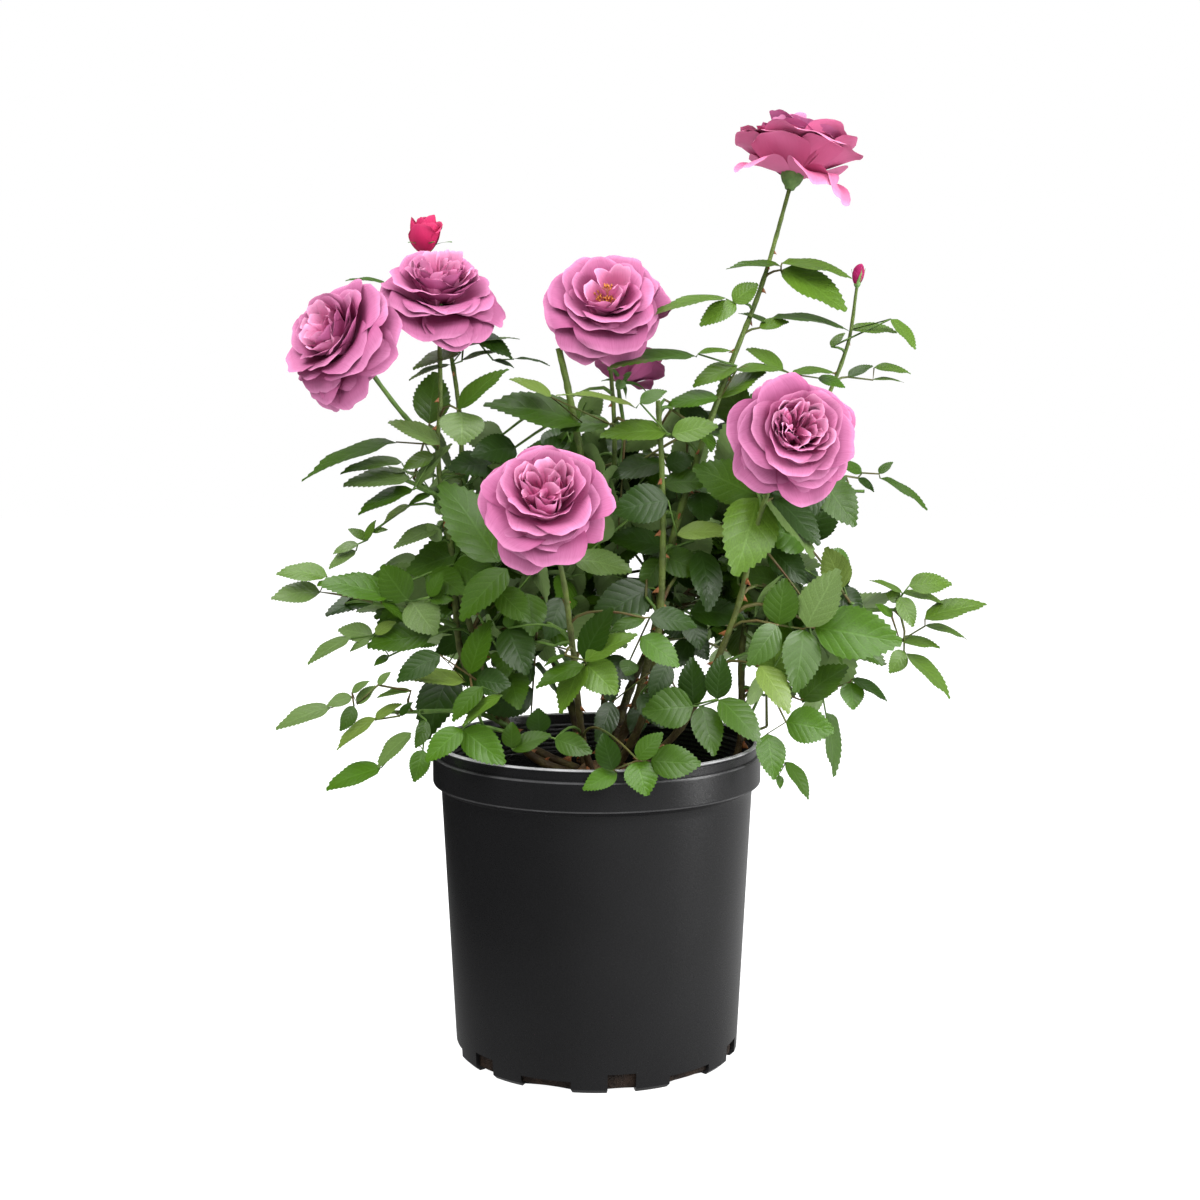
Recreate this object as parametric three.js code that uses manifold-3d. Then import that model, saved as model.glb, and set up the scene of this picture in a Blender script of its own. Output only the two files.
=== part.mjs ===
// A rose bush in full bloom, growing in a round nursery pot.
// Units are millimetres, +Z is up, and the bush is seen from -Y. The origin is the middle of the pot's flat
// underside. Every cane, mass of leaves, flower and bud is a closed solid of its own.
import * as THREE from 'three';
import { mergeVertices } from 'three/addons/utils/BufferGeometryUtils.js';
import Module from 'manifold-3d';

const wasm = await Module();
wasm.setup();

// ---- driving dimensions ---------------------------------------------------------------------------------
const GAP = 0.35; // clearance between pieces that touch

const POT = {
  height: 229, // top of the lip
  baseRadius: 103,
  wallTopRadius: 113.2, // outside of the wall, just under the band
  bandRadius: 119,
  bandBottom: 200,
  bandTop: 220.5,
  lipRadius: 117,
  wall: 2.8,
  floor: 3,
  foot: 3, // the sloping edge round the underside
  sides: 32,
};
const MIX_TOP = 188; // surface of the potting mix
const DRAIN = {
  count: 6, // slots, with as many low arches between them
  inner: 94,
  slotTurn: 9.7,
  slot: { width: 20, height: 14 },
  arch: { width: 37, height: 8.5 },
};
const BELOW = 1; // how far a cutting shape reaches under the pot
const ROOTSTOCK = {
  foot: 19, // radius where it meets the potting mix
  swell: 21,
  swellHeight: 8.4,
  neck: 12,
  neckHeight: 20.4,
  height: 24,
  sides: 12,
};

const FLOWER = { radius: 44, height: 56, sides: 10 };
// A flower head from the foot of its cup round to its crown, as shares of its radius and of its height.
const FLOWER_OUTLINE = [
  [0, 0], [0.08, 0], [0.2, 0.13], [0.24, 0.24], [0.86, 0.3], [1, 0.5], [0.9, 0.76], [0.55, 0.97], [0, 1],
];
const UNDERSIDE = 0.4; // the share of a flower's height that faces down
const RUFFLE = { above: 0.28, depth: 0.045, count: 5 }; // the waves round the bowl of petals

const LIMB_SIDES = 6;
const LIMB_STEP = 60; // length of one straight stretch of a limb

const MASS_DETAIL = 1; // how finely the ball behind each mass of leaves is divided
const UNEVEN = 0.1; // how lumpy a mass of leaves is
const BUMPS = [4.1, 5.3, 4.7]; // bumps along X, Y and Z
const BUMP_SHIFT = [1, -1.7, 2.3]; // how they shift from one mass to the next
const TIP_PULL = 0.6; // how far the leaves round a tip are drawn out with it
const TIP_SHARPNESS = 5;

// ---- colours --------------------------------------------------------------------------------------------
const finish = (color, roughness) => new THREE.MeshStandardMaterial({ color, roughness, metalness: 0 });
const FINISH = {
  pot: () => finish(0x1d1d1e, 0.42),
  mix: () => finish(0x33241a, 0.95),
  bark: () => finish(0x6b5a34, 0.75),
  shoot: () => finish(0x5b7a36, 0.6),
  leaf: () => finish(0x3f6f33, 0.6),
  petal: () => finish(0xc9609c, 0.65),
  bud: () => finish(0xd0305f, 0.6),
};

// ---- solids ---------------------------------------------------------------------------------------------
const UP = new THREE.Vector3(0, 0, 1);
const vector = (p) => new THREE.Vector3(...p);

// A closed geometry whose points are shared between its faces.
function weld(geometry) {
  geometry.deleteAttribute('normal');
  geometry.deleteAttribute('uv');
  return mergeVertices(geometry, 1e-4);
}

function solid(geometry) {
  const welded = weld(geometry);
  const vertProperties = welded.attributes.position.array;
  const triVerts = new Uint32Array(welded.index.array);
  return new wasm.Manifold(new wasm.Mesh({ numProp: 3, vertProperties, triVerts }));
}

function toGeometry(shape) {
  const mesh = shape.getMesh();
  const geometry = new THREE.BufferGeometry();
  geometry.setAttribute('position', new THREE.BufferAttribute(mesh.vertProperties, 3));
  geometry.setIndex(new THREE.BufferAttribute(mesh.triVerts, 1));
  const flat = geometry.toNonIndexed();
  flat.computeVertexNormals();
  return flat;
}

// What is left of a shape once the others are taken out of it: its largest piece.
function cutBy(shape, cutters) {
  const left = cutters.reduce((rest, cutter) => rest.subtract(cutter), shape);
  const pieces = left.decompose();
  return pieces.reduce((best, piece) => (piece.volume() > best.volume() ? piece : best));
}

function moveVertices(geometry, place) {
  const position = geometry.attributes.position;
  const v = new THREE.Vector3();
  for (let i = 0; i < position.count; i += 1) {
    v.fromBufferAttribute(position, i);
    place(v, i);
    position.setXYZ(i, v.x, v.y, v.z);
  }
  return geometry;
}

// A profile of [radius, height] pairs, from the axis at the bottom to the axis at the top, spun round Z.
function spun(profile, sides) {
  const points = profile.map(([r, z]) => new THREE.Vector2(r, z));
  return new THREE.LatheGeometry(points, sides).rotateX(Math.PI / 2);
}

// A tapering limb along a smooth curve, with flat ends.
function limb({ path, radii }, grow = 0) {
  const curve = new THREE.CatmullRomCurve3(path.map(vector), false, 'centripetal');
  const steps = Math.max(3, Math.round(curve.getLength() / LIMB_STEP));
  const frames = curve.computeFrenetFrames(steps, false);
  const tube = new THREE.CylinderGeometry(1, 1, 1, LIMB_SIDES, steps);
  return moveVertices(tube, (v) => {
    const i = Math.round((v.y + 0.5) * steps);
    const share = i / steps;
    const radius = radii[0] + (radii[1] - radii[0]) * share + grow;
    const { x, z } = v;
    v.copy(curve.getPointAt(share));
    v.addScaledVector(frames.normals[i], x * radius);
    v.addScaledVector(frames.binormals[i], -z * radius);
    if (i === 0) v.addScaledVector(frames.tangents[i], -grow);
    if (i === steps) v.addScaledVector(frames.tangents[i], grow);
  });
}

// A mass of leaves: an uneven ball of three half widths, drawn out to the tips of its sprays.
function lump({ at, half, tips = [] }, grow = 0) {
  const centre = vector(at);
  const ball = weld(new THREE.IcosahedronGeometry(1, MASS_DETAIL));
  const phase = at[0] * 0.37 + at[2] * 0.11; // so that no two masses have the same bumps
  const reaches = tips.map((tip) => vector(tip).sub(centre));
  moveVertices(ball, (v) => {
    const waves = v.toArray().map((share, i) => Math.sin(BUMPS[i] * share + BUMP_SHIFT[i] * phase));
    const swell = 1 + UNEVEN * (waves[0] + waves[1] + waves[2]);
    v.set(v.x * half[0], v.y * half[1], v.z * half[2]).multiplyScalar(swell);
    const heading = v.clone().normalize();
    for (const reach of reaches) {
      const pull = Math.max(0, heading.dot(reach.clone().normalize())) ** TIP_SHARPNESS;
      v.setLength(v.length() + TIP_PULL * pull * Math.max(0, reach.length() - v.length()));
    }
  });
  for (const reach of reaches) drawOut(ball, reach);
  return moveVertices(ball, (v) => v.setLength(v.length() + grow).add(centre));
}

// Takes the point that lies nearest to a direction right out to its end.
function drawOut(ball, reach) {
  const position = ball.attributes.position;
  const v = new THREE.Vector3();
  let nearest = 0;
  let best = -1;
  for (let i = 0; i < position.count; i += 1) {
    const closeness = v.fromBufferAttribute(position, i).normalize().dot(reach) / reach.length();
    if (closeness > best) {
      best = closeness;
      nearest = i;
    }
  }
  position.setXYZ(nearest, reach.x, reach.y, reach.z);
}

// A flower head: a green cup on the stem's end, then the bowl of petals, turned to face along its axis.
function flowerHead(flower, grow = 0) {
  const { foot, facing, radius, height, sides } = { ...FLOWER, ...flower };
  const profile = FLOWER_OUTLINE.map(([r, z]) => {
    const side = r === 0 ? 0 : r * radius + grow;
    return [side, z * height + (z < UNDERSIDE ? -grow : grow)];
  });
  const head = moveVertices(spun(profile, sides), (v) => {
    const angle = Math.atan2(v.y, v.x);
    const wave = RUFFLE.depth * Math.sin(RUFFLE.count * angle + foot[0]);
    const ruffle = v.z > RUFFLE.above * height ? 1 + wave : 1;
    v.set(v.x * ruffle, v.y * ruffle, v.z);
  });
  const turn = new THREE.Quaternion().setFromUnitVectors(UP, vector(facing).normalize());
  return head.applyQuaternion(turn).translate(...foot);
}

// ---- the pot and what fills it --------------------------------------------------------------------------
const wallRadius = (z) => POT.baseRadius + ((POT.wallTopRadius - POT.baseRadius) * z) / POT.bandBottom;
const potInside = (z) => wallRadius(z) - POT.wall;

function potSolid() {
  const shell = solid(
    spun(
      [
        [0, 0],
        [POT.baseRadius - POT.foot, 0],
        [wallRadius(POT.foot), POT.foot],
        [POT.wallTopRadius, POT.bandBottom],
        [POT.bandRadius, POT.bandBottom],
        [POT.bandRadius, POT.bandTop],
        [POT.lipRadius, POT.bandTop + 1],
        [POT.lipRadius, POT.height],
        [POT.lipRadius - POT.wall, POT.height],
        [potInside(POT.bandBottom), POT.bandBottom],
        [potInside(POT.floor), POT.floor],
        [0, POT.floor],
      ],
      POT.sides,
    ),
  );
  const pitch = 360 / DRAIN.count;
  const openings = [];
  for (let i = 0; i < DRAIN.count; i += 1) {
    openings.push(drainCut(DRAIN.slot, DRAIN.slotTurn + i * pitch));
    openings.push(drainCut(DRAIN.arch, DRAIN.slotTurn + (i + 0.5) * pitch));
  }
  return cutBy(shell, openings);
}

// A cut through the foot of the wall, at an angle in degrees from the front towards +X.
function drainCut({ width, height }, degrees) {
  const depth = 2 * (POT.baseRadius - DRAIN.inner);
  const cut = new THREE.BoxGeometry(width, depth, 2 * height).translate(0, -(DRAIN.inner + depth / 2), 0);
  return solid(cut.rotateZ(THREE.MathUtils.degToRad(degrees)));
}

function mixSolid() {
  const bottom = POT.floor + GAP;
  return solid(
    spun(
      [
        [0, bottom],
        [potInside(bottom) - GAP, bottom],
        [potInside(MIX_TOP) - GAP, MIX_TOP],
        [0, MIX_TOP],
      ],
      POT.sides,
    ),
  );
}

// The pot and its filling as one cup, with clearance: no leaf or limb goes inside it.
function potEnvelope() {
  const outer = POT.bandRadius + GAP;
  const inner = POT.wallTopRadius - POT.wall - GAP;
  const top = POT.height + GAP;
  const bed = MIX_TOP + GAP;
  const outline = [[0, -BELOW], [outer, -BELOW], [outer, top], [inner, top], [inner, bed], [0, bed]];
  return solid(spun(outline, POT.sides));
}

function rootstock(grow = 0) {
  const ground = MIX_TOP + GAP - grow;
  const { foot, swell, swellHeight, neck, neckHeight, height, sides } = ROOTSTOCK;
  const profile = [
    [0, ground],
    [foot + grow, ground],
    [swell + grow, ground + swellHeight],
    [neck + grow, ground + neckHeight + grow],
    [0, ground + height + 2 * grow],
  ];
  return solid(spun(profile, sides));
}

// ---- limbs ----------------------------------------------------------------------------------------------
// Where each flower sits: the foot of its green cup, and the way it faces.
const FLOWERS = {
  bloom_left: { foot: [-165, -42, 506], facing: [-0.61, -0.61, 0.51] },
  bloom_upper_left: { foot: [-113, 10, 534], facing: [0.06, -0.5, 0.86] },
  bloom_centre: { foot: [7, 22, 531], facing: [0, -0.75, 0.65] },
  bloom_front: { foot: [-34, -97, 397], facing: [0, -0.8, 0.6] },
  bloom_right: { foot: [130, -62, 446], facing: [0.15, -0.94, 0.31] },
  bloom_top: { foot: [138, 14, 626], facing: [0.2, 0.2, 0.96] },
  bloom_half_open: { foot: [16, 40, 483], facing: [0.4, 0.5, 0.77], radius: 20, height: 34, sides: 8 },
};
const BUDS = {
  bud_left: { foot: [-124, 30, 578], facing: [0, 0, 1], radius: 12.5, height: 27, sides: 8 },
  bud_right: { foot: [190, 40, 556], facing: [0.1, 0, 1], radius: 5.5, height: 15, sides: 6 },
};

// Canes that rise from the rootstock, or from the potting mix beside it. One with a flower stops at its cup.
const CANES = {
  cane_left_outer: {
    path: [
      [-8, -3, 200], [-52, -2, 221], [-88, 2, 300], [-108, 2, 385], [-114, 0, 442], [-112, 3, 470],
      FLOWERS.bloom_upper_left.foot,
    ],
    radii: [3.1, 1.4],
    bears: FLOWERS.bloom_upper_left,
  },
  cane_left_inner: {
    path: [
      [-8, 6, 203], [-56, 12, 226], [-96, 12, 280], [-103, 14, 365], [-98, 16, 440],
      [-106, 22, 510], BUDS.bud_left.foot,
    ],
    radii: [3.1, 1.2],
    bears: BUDS.bud_left,
  },
  cane_centre: {
    path: [[2, 6, 202], [6, 16, 260], [10, 22, 360], [13, 24, 450], FLOWERS.bloom_centre.foot],
    radii: [2.9, 1.4],
    bears: FLOWERS.bloom_centre,
  },
  cane_middle: {
    path: [[10, -2, 200], [34, -16, 250], [45, -26, 325], [46, -28, 420], [43, -24, 474]],
    radii: [3.2, 1.7],
  },
  cane_front: {
    path: [[-2, -10, 200], [-10, -36, 236], [-17, -70, 310], [-24, -92, 362], FLOWERS.bloom_front.foot],
    radii: [2.9, 1.5],
    bears: FLOWERS.bloom_front,
  },
  cane_right_front: {
    path: [[10, -8, 198], [56, -22, 236], [96, -36, 320], [113, -42, 392], FLOWERS.bloom_right.foot],
    radii: [2.9, 1.5],
    bears: FLOWERS.bloom_right,
  },
  cane_tall: {
    path: [
      [8, 6, 203], [34, 12, 270], [54, 10, 370], [76, 2, 444], [96, 2, 500], [118, 10, 556],
      FLOWERS.bloom_top.foot,
    ],
    radii: [3.4, 1.4],
    bears: FLOWERS.bloom_top,
  },
  cane_right: {
    path: [
      [88, 7, MIX_TOP - 8], [104, 2, 222], [106, 2, 300], [122, 14, 370], [158, 34, 450],
      [184, 40, 515], BUDS.bud_right.foot,
    ],
    radii: [3, 1.2],
    bears: BUDS.bud_right,
  },
  cane_back_left: {
    path: [[-6, 10, 200], [-24, 40, 262], [-62, 84, 335], [-80, 108, 405]],
    radii: [3.6, 1.8],
  },
  cane_back_right: {
    path: [[6, 11, 200], [26, 42, 262], [66, 86, 335], [86, 108, 400]],
    radii: [3.6, 1.8],
  },
};

// Side boughs: each grows out of a cane and runs to a flower, or into the mass of leaves that it carries.
const BOUGHS = {
  bough_left_bloom: {
    path: [[-114, 0, 440], [-136, -20, 464], FLOWERS.bloom_left.foot],
    radii: [1.8, 1.5],
    bears: FLOWERS.bloom_left,
  },
  bough_left_upper: {
    path: [[-112, 2, 404], [-124, -8, 412], [-150, -14, 424]],
    radii: [1.7, 1.3],
    into: 'foliage_left_upper',
  },
  bough_left_mid: {
    path: [[-102, 13, 310], [-118, 0, 318], [-160, -14, 330]],
    radii: [2, 1.4],
    into: 'foliage_left_mid',
  },
  bough_left_low: {
    path: [[-62, -1, 237], [-86, -12, 250], [-148, -20, 252]],
    radii: [2.1, 1.4],
    into: 'foliage_left_low',
  },
  bough_front_left: {
    path: [[-50, -2, 220], [-60, -34, 238], [-82, -74, 252]],
    radii: [1.9, 1.4],
    into: 'foliage_front_left',
  },
  bough_pruned: {
    path: [[9, 22, 350], [-8, 10, 420], [-20, 4, 480], [-27, 2, 511]],
    radii: [2.7, 2.4],
  },
  bough_half_open: {
    path: [[12, 23, 410], [20, 34, 444], FLOWERS.bloom_half_open.foot],
    radii: [1.7, 1.4],
    bears: FLOWERS.bloom_half_open,
  },
  bough_right_mid: {
    path: [[137, 22, 400], [160, 22, 408], [195, 20, 408]],
    radii: [1.7, 1.2],
    into: 'foliage_right_mid',
  },
  bough_right_spray: {
    path: [[106, 2, 284], [150, 6, 316], [190, 6, 322], [224, 5, 323]],
    radii: [1.9, 1.3],
    into: 'foliage_right_spray',
  },
};

// ---- masses of leaves -----------------------------------------------------------------------------------
// Each has its middle, its half widths along X, Y and Z, and the tips of the sprays that stand out of it.
const FOLIAGE = {
  foliage_centre: { at: [24, 4, 360], half: [60, 62, 62] },
  foliage_centre_left: { at: [-62, -6, 308], half: [52, 58, 56] },
  foliage_right: {
    at: [122, -12, 326],
    half: [56, 56, 50],
    tips: [[213, -40, 307], [177, -10, 371]],
  },
  foliage_centre_upper: {
    at: [44, 8, 458],
    half: [48, 46, 40],
    tips: [[0, 0, 494]],
  },
  foliage_inner_left: {
    at: [-92, -5, 415],
    half: [33, 38, 54],
    tips: [[-64, -40, 374]],
  },
  foliage_left_upper: {
    at: [-156, -14, 428],
    half: [38, 34, 27],
    tips: [[-206, -30, 420], [-179, -20, 402], [-168, -8, 381]],
  },
  foliage_left_mid: {
    at: [-166, -14, 332],
    half: [48, 44, 29],
    tips: [[-233, -30, 332], [-229, -15, 354], [-205, -20, 281], [-176, 0, 374]],
  },
  foliage_left_low: {
    at: [-156, -20, 256],
    half: [48, 46, 29],
    tips: [[-230, -40, 242], [-192, -50, 196], [-122, -62, 208]],
  },
  foliage_left_top: {
    at: [-91, 15, 494],
    half: [30, 26, 19],
    tips: [[-126, 0, 481], [-43, 20, 516]],
  },
  foliage_centre_top: {
    at: [-36, 10, 466],
    half: [44, 36, 28],
    tips: [[-81, 5, 471], [-69, 10, 508]],
  },
  foliage_right_upper: { at: [100, -14, 404], half: [42, 42, 40] },
  foliage_right_low: {
    at: [122, -24, 258],
    half: [48, 50, 37],
    tips: [[151, -50, 196], [170, -40, 237], [213, -10, 258]],
  },
  foliage_right_spray: {
    at: [224, 5, 324],
    half: [32, 32, 23],
    tips: [[287, 10, 326], [258, 0, 354], [259, 10, 256]],
  },
  foliage_right_mid: {
    at: [192, 18, 406],
    half: [28, 30, 20],
    tips: [[245, 30, 393], [182, 0, 380]],
  },
  foliage_right_bud: {
    at: [202, 38, 508],
    half: [30, 30, 21],
    tips: [[241, 40, 513], [235, 50, 492]],
  },
  foliage_top_right: {
    at: [120, 12, 551],
    half: [46, 32, 22],
    tips: [[44, 0, 536], [191, 0, 538]],
  },
  foliage_right_inner: { at: [122, 12, 494], half: [48, 38, 20] },
  foliage_front: {
    at: [-4, -84, 300],
    half: [36, 30, 40],
    tips: [[-47, -100, 266], [10, -114, 256]],
  },
  foliage_front_low: {
    at: [24, -92, 257],
    half: [48, 34, 21],
    tips: [[-7, -124, 204], [24, -133, 201], [68, -125, 223]],
  },
  foliage_front_left: {
    at: [-82, -76, 253],
    half: [36, 32, 23],
    tips: [[-110, -84, 225], [-74, -110, 225]],
  },
  foliage_back_left: {
    at: [-92, 86, 334],
    half: [58, 52, 62],
    tips: [[-164, 138, 318], [-104, 204, 296], [-132, 128, 420], [-152, 104, 248]],
  },
  foliage_back_right: {
    at: [98, 90, 330],
    half: [58, 52, 60],
    tips: [[168, 146, 310], [104, 210, 316], [130, 132, 418], [142, 128, 236]],
  },
  foliage_back_centre: {
    at: [2, 94, 400],
    half: [54, 46, 46],
    tips: [[-8, 190, 382], [36, 140, 476]],
  },
};

// ---- assembly -------------------------------------------------------------------------------------------
const group = new THREE.Group();

function place(name, shape, material) {
  const mesh = new THREE.Mesh(toGeometry(shape), material);
  mesh.name = name;
  group.add(mesh);
}

place('pot', potSolid(), FINISH.pot());
place('potting_mix', mixSolid(), FINISH.mix());
place('rootstock', rootstock(), FINISH.bark());

const ownFlower = ({ bears }) => (bears ? [solid(flowerHead(bears, GAP))] : []);

// Limbs are cut flat at the potting mix, and clear of the rootstock and of the canes placed before them.
const limbsWithRoom = [];
for (const [name, cane] of Object.entries(CANES)) {
  const room = [potEnvelope(), rootstock(2 * GAP), ...limbsWithRoom, ...ownFlower(cane)];
  place(name, cutBy(solid(limb(cane)), room), FINISH.bark());
  limbsWithRoom.push(solid(limb(cane, GAP)));
}
for (const [name, bough] of Object.entries(BOUGHS)) {
  const room = [...limbsWithRoom, ...ownFlower(bough)];
  if (bough.into) room.push(solid(lump(FOLIAGE[bough.into], GAP)));
  place(name, cutBy(solid(limb(bough)), room), FINISH.shoot());
  limbsWithRoom.push(solid(limb(bough, GAP)));
}

const headsWithRoom = [];
for (const [name, head] of Object.entries({ ...FLOWERS, ...BUDS })) {
  const material = name.startsWith('bud') ? FINISH.bud() : FINISH.petal();
  place(name, cutBy(solid(flowerHead(head)), [...limbsWithRoom, ...headsWithRoom]), material);
  headsWithRoom.push(solid(flowerHead(head, GAP)));
}

// Each mass is cut round the canes and boughs that run up through it, the flowers and the masses before it.
const massesWithRoom = [];
for (const [name, mass] of Object.entries(FOLIAGE)) {
  const room = [potEnvelope(), ...limbsWithRoom, ...headsWithRoom, ...massesWithRoom];
  place(name, cutBy(solid(lump(mass)), room), FINISH.leaf());
  massesWithRoom.push(solid(lump(mass, 2 * GAP)));
}

export default group;
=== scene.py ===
"""A rose bush in full bloom in a round nursery pot: its looks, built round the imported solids.

Everything is in metres in the part's own frame. Limb paths and flower places are written in millimetres and
taken to metres by `metres`. Leaves that have a place of their own are written in units of the camera's frame,
1200 by 1200, together with a depth, and `Lens` takes them to the part's frame.
"""

import math
import random

import bpy
import numpy as np
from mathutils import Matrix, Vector


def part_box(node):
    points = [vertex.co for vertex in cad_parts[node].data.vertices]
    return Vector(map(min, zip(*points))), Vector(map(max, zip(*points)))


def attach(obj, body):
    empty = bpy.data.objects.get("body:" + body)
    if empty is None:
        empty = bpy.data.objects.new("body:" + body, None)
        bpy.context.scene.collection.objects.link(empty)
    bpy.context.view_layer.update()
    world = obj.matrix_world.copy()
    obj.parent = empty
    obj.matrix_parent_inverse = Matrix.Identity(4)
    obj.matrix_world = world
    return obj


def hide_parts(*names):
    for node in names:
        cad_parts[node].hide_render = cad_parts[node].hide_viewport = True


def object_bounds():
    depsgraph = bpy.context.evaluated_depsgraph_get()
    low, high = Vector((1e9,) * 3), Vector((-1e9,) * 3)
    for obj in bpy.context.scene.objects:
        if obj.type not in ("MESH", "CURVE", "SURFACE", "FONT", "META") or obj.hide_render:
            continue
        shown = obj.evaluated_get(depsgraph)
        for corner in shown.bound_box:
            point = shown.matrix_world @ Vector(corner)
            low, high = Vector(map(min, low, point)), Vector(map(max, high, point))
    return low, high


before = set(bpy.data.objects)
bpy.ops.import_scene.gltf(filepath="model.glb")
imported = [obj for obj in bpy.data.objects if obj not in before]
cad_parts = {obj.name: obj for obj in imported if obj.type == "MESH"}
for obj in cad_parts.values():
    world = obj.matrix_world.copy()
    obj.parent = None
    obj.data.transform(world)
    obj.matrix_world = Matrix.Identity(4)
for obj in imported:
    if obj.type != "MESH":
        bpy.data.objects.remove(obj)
CAD_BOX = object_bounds()

bl_info = {
    "name": "Potted rose bush",
    "version": (1, 0, 0),
    "blender": (4, 5, 0),
    "location": "View3D > Sidebar > Rose bush",
    "description": "Builds a potted rose bush piece by piece round its packed solids",
    "category": "Add Mesh",
}

MM = 0.001
UP = np.array([0.0, 0.0, 1.0])
GOLDEN_TURN = math.radians(137.5)  # from one leaf or petal to the next round its stem

# ---- the camera's frame -----------------------------------------------------
FRAME_SIZE = 1200
SENSOR = 36.0
CAMERA = {"distance": 1.350, "height": 0.4768, "pitch": math.radians(6.18), "lens": 56.4, "shift": 0.00275}


class Lens:
    """Takes places between the camera's frame and the part's frame."""

    scale = CAMERA["lens"] / SENSOR * FRAME_SIZE
    middle = FRAME_SIZE * (0.5 - CAMERA["shift"])
    eye = np.array([0.0, -CAMERA["distance"], CAMERA["height"]])
    ahead = np.array([0.0, math.cos(CAMERA["pitch"]), -math.sin(CAMERA["pitch"])])
    above = np.array([0.0, math.sin(CAMERA["pitch"]), math.cos(CAMERA["pitch"])])

    @classmethod
    def place(cls, u, v, depth):
        """The point of the part's frame that shows at (u, v) and lies at this depth along Y."""
        ray = cls.ahead + cls.above * (FRAME_SIZE / 2 - v) / cls.scale
        ray[0] = (u - cls.middle) / cls.scale
        return cls.eye + ray * (depth - cls.eye[1]) / ray[1]

    @classmethod
    def seen(cls, point):
        """Where a point shows in the camera's frame."""
        away = point - cls.eye
        reach = away @ cls.ahead
        return (
            cls.middle + cls.scale * away[0] / reach,
            FRAME_SIZE / 2 - cls.scale * (away @ cls.above) / reach,
        )


# ---- the pot, in millimetres ------------------------------------------------
POT = {
    "height": 229, "base": 103, "wall_top": 113.2, "band": 119, "band_bottom": 200, "band_top": 220.5,
    "lip": 117, "wall": 2.8, "floor": 3, "foot": 3,
}
POT_SIDES = 128
POT_EDGE_HIGHLIGHTS = [(229, 1.2, 0.85), (220.2, 0.8, 0.1), (200.5, 0.7, 0.075)]  # painted highlight lines along the pot's edges: height, reach and strength
SHARP_TURN = math.radians(28)  # where the pot's faces turn by more, the edge stays sharp
WALL_HEIGHTS = (40, 80, 120, 160, 190, 195.5)  # of the rings up the outside
UNDER_BAND = 196.5  # where the wall turns out to the band
# Roundings of the pot, each point as steps out and up from the radius and height that it lies near.
UNDERSIDE_EDGE = [(-9, 0.9), (-7, 0)]
BAND_FOOT = [(-2.4, -1.2), (-0.3, 0), (0, 1.0), (0, 1.8)]
BAND_HEAD = [(0, -1.8), (0, -1.0), (-0.4, -0.1)]
LIP_FOOT = [(0, 0.6), (0, 1.2)]
LIP_HEAD = [(0.2, -3.0), (0.2, -2.4), (0.9, -1.5), (0.7, -0.3), (-0.3, 0)]
LIP_INSIDE = [(0.4, 0), (-0.2, -0.7)]
RIB = [(0, 0), (-0.5, -0.7), (-0.5, -1.5), (0, -2.2)]
FIRST_RIB, RIB_PITCH = 6, 3.4  # how far the first rib lies under the rim, and from rib to rib
MIX_TOP = 188
MIX_GAP = 0.4  # between the mix and the pot
# The top of the mix from its rim inwards: share of its radius, and rise over its level.
MIX_DOME = [(1, -1), (0.93, 0), (0.8, 0.6), (0.6, 1), (0.4, 1), (0.2, 1), (0.05, 1)]
CHIP_SIZES = ((4, 11), (3, 6), (1.2, 3))  # least and most length, width and height of a bark chip
CHIP_EDGE = 6  # how far the chips keep from the mix's rim
CHIP_RISE, CHIP_HEAP = 1.2, 2.4  # how high the lowest chips lie above the bed, and how much higher the others
DRAIN = {"count": 6, "turn": 9.7, "depth": 22, "inner": 94, "slot": (20, 14), "arch": (37, 8.5)}

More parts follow.
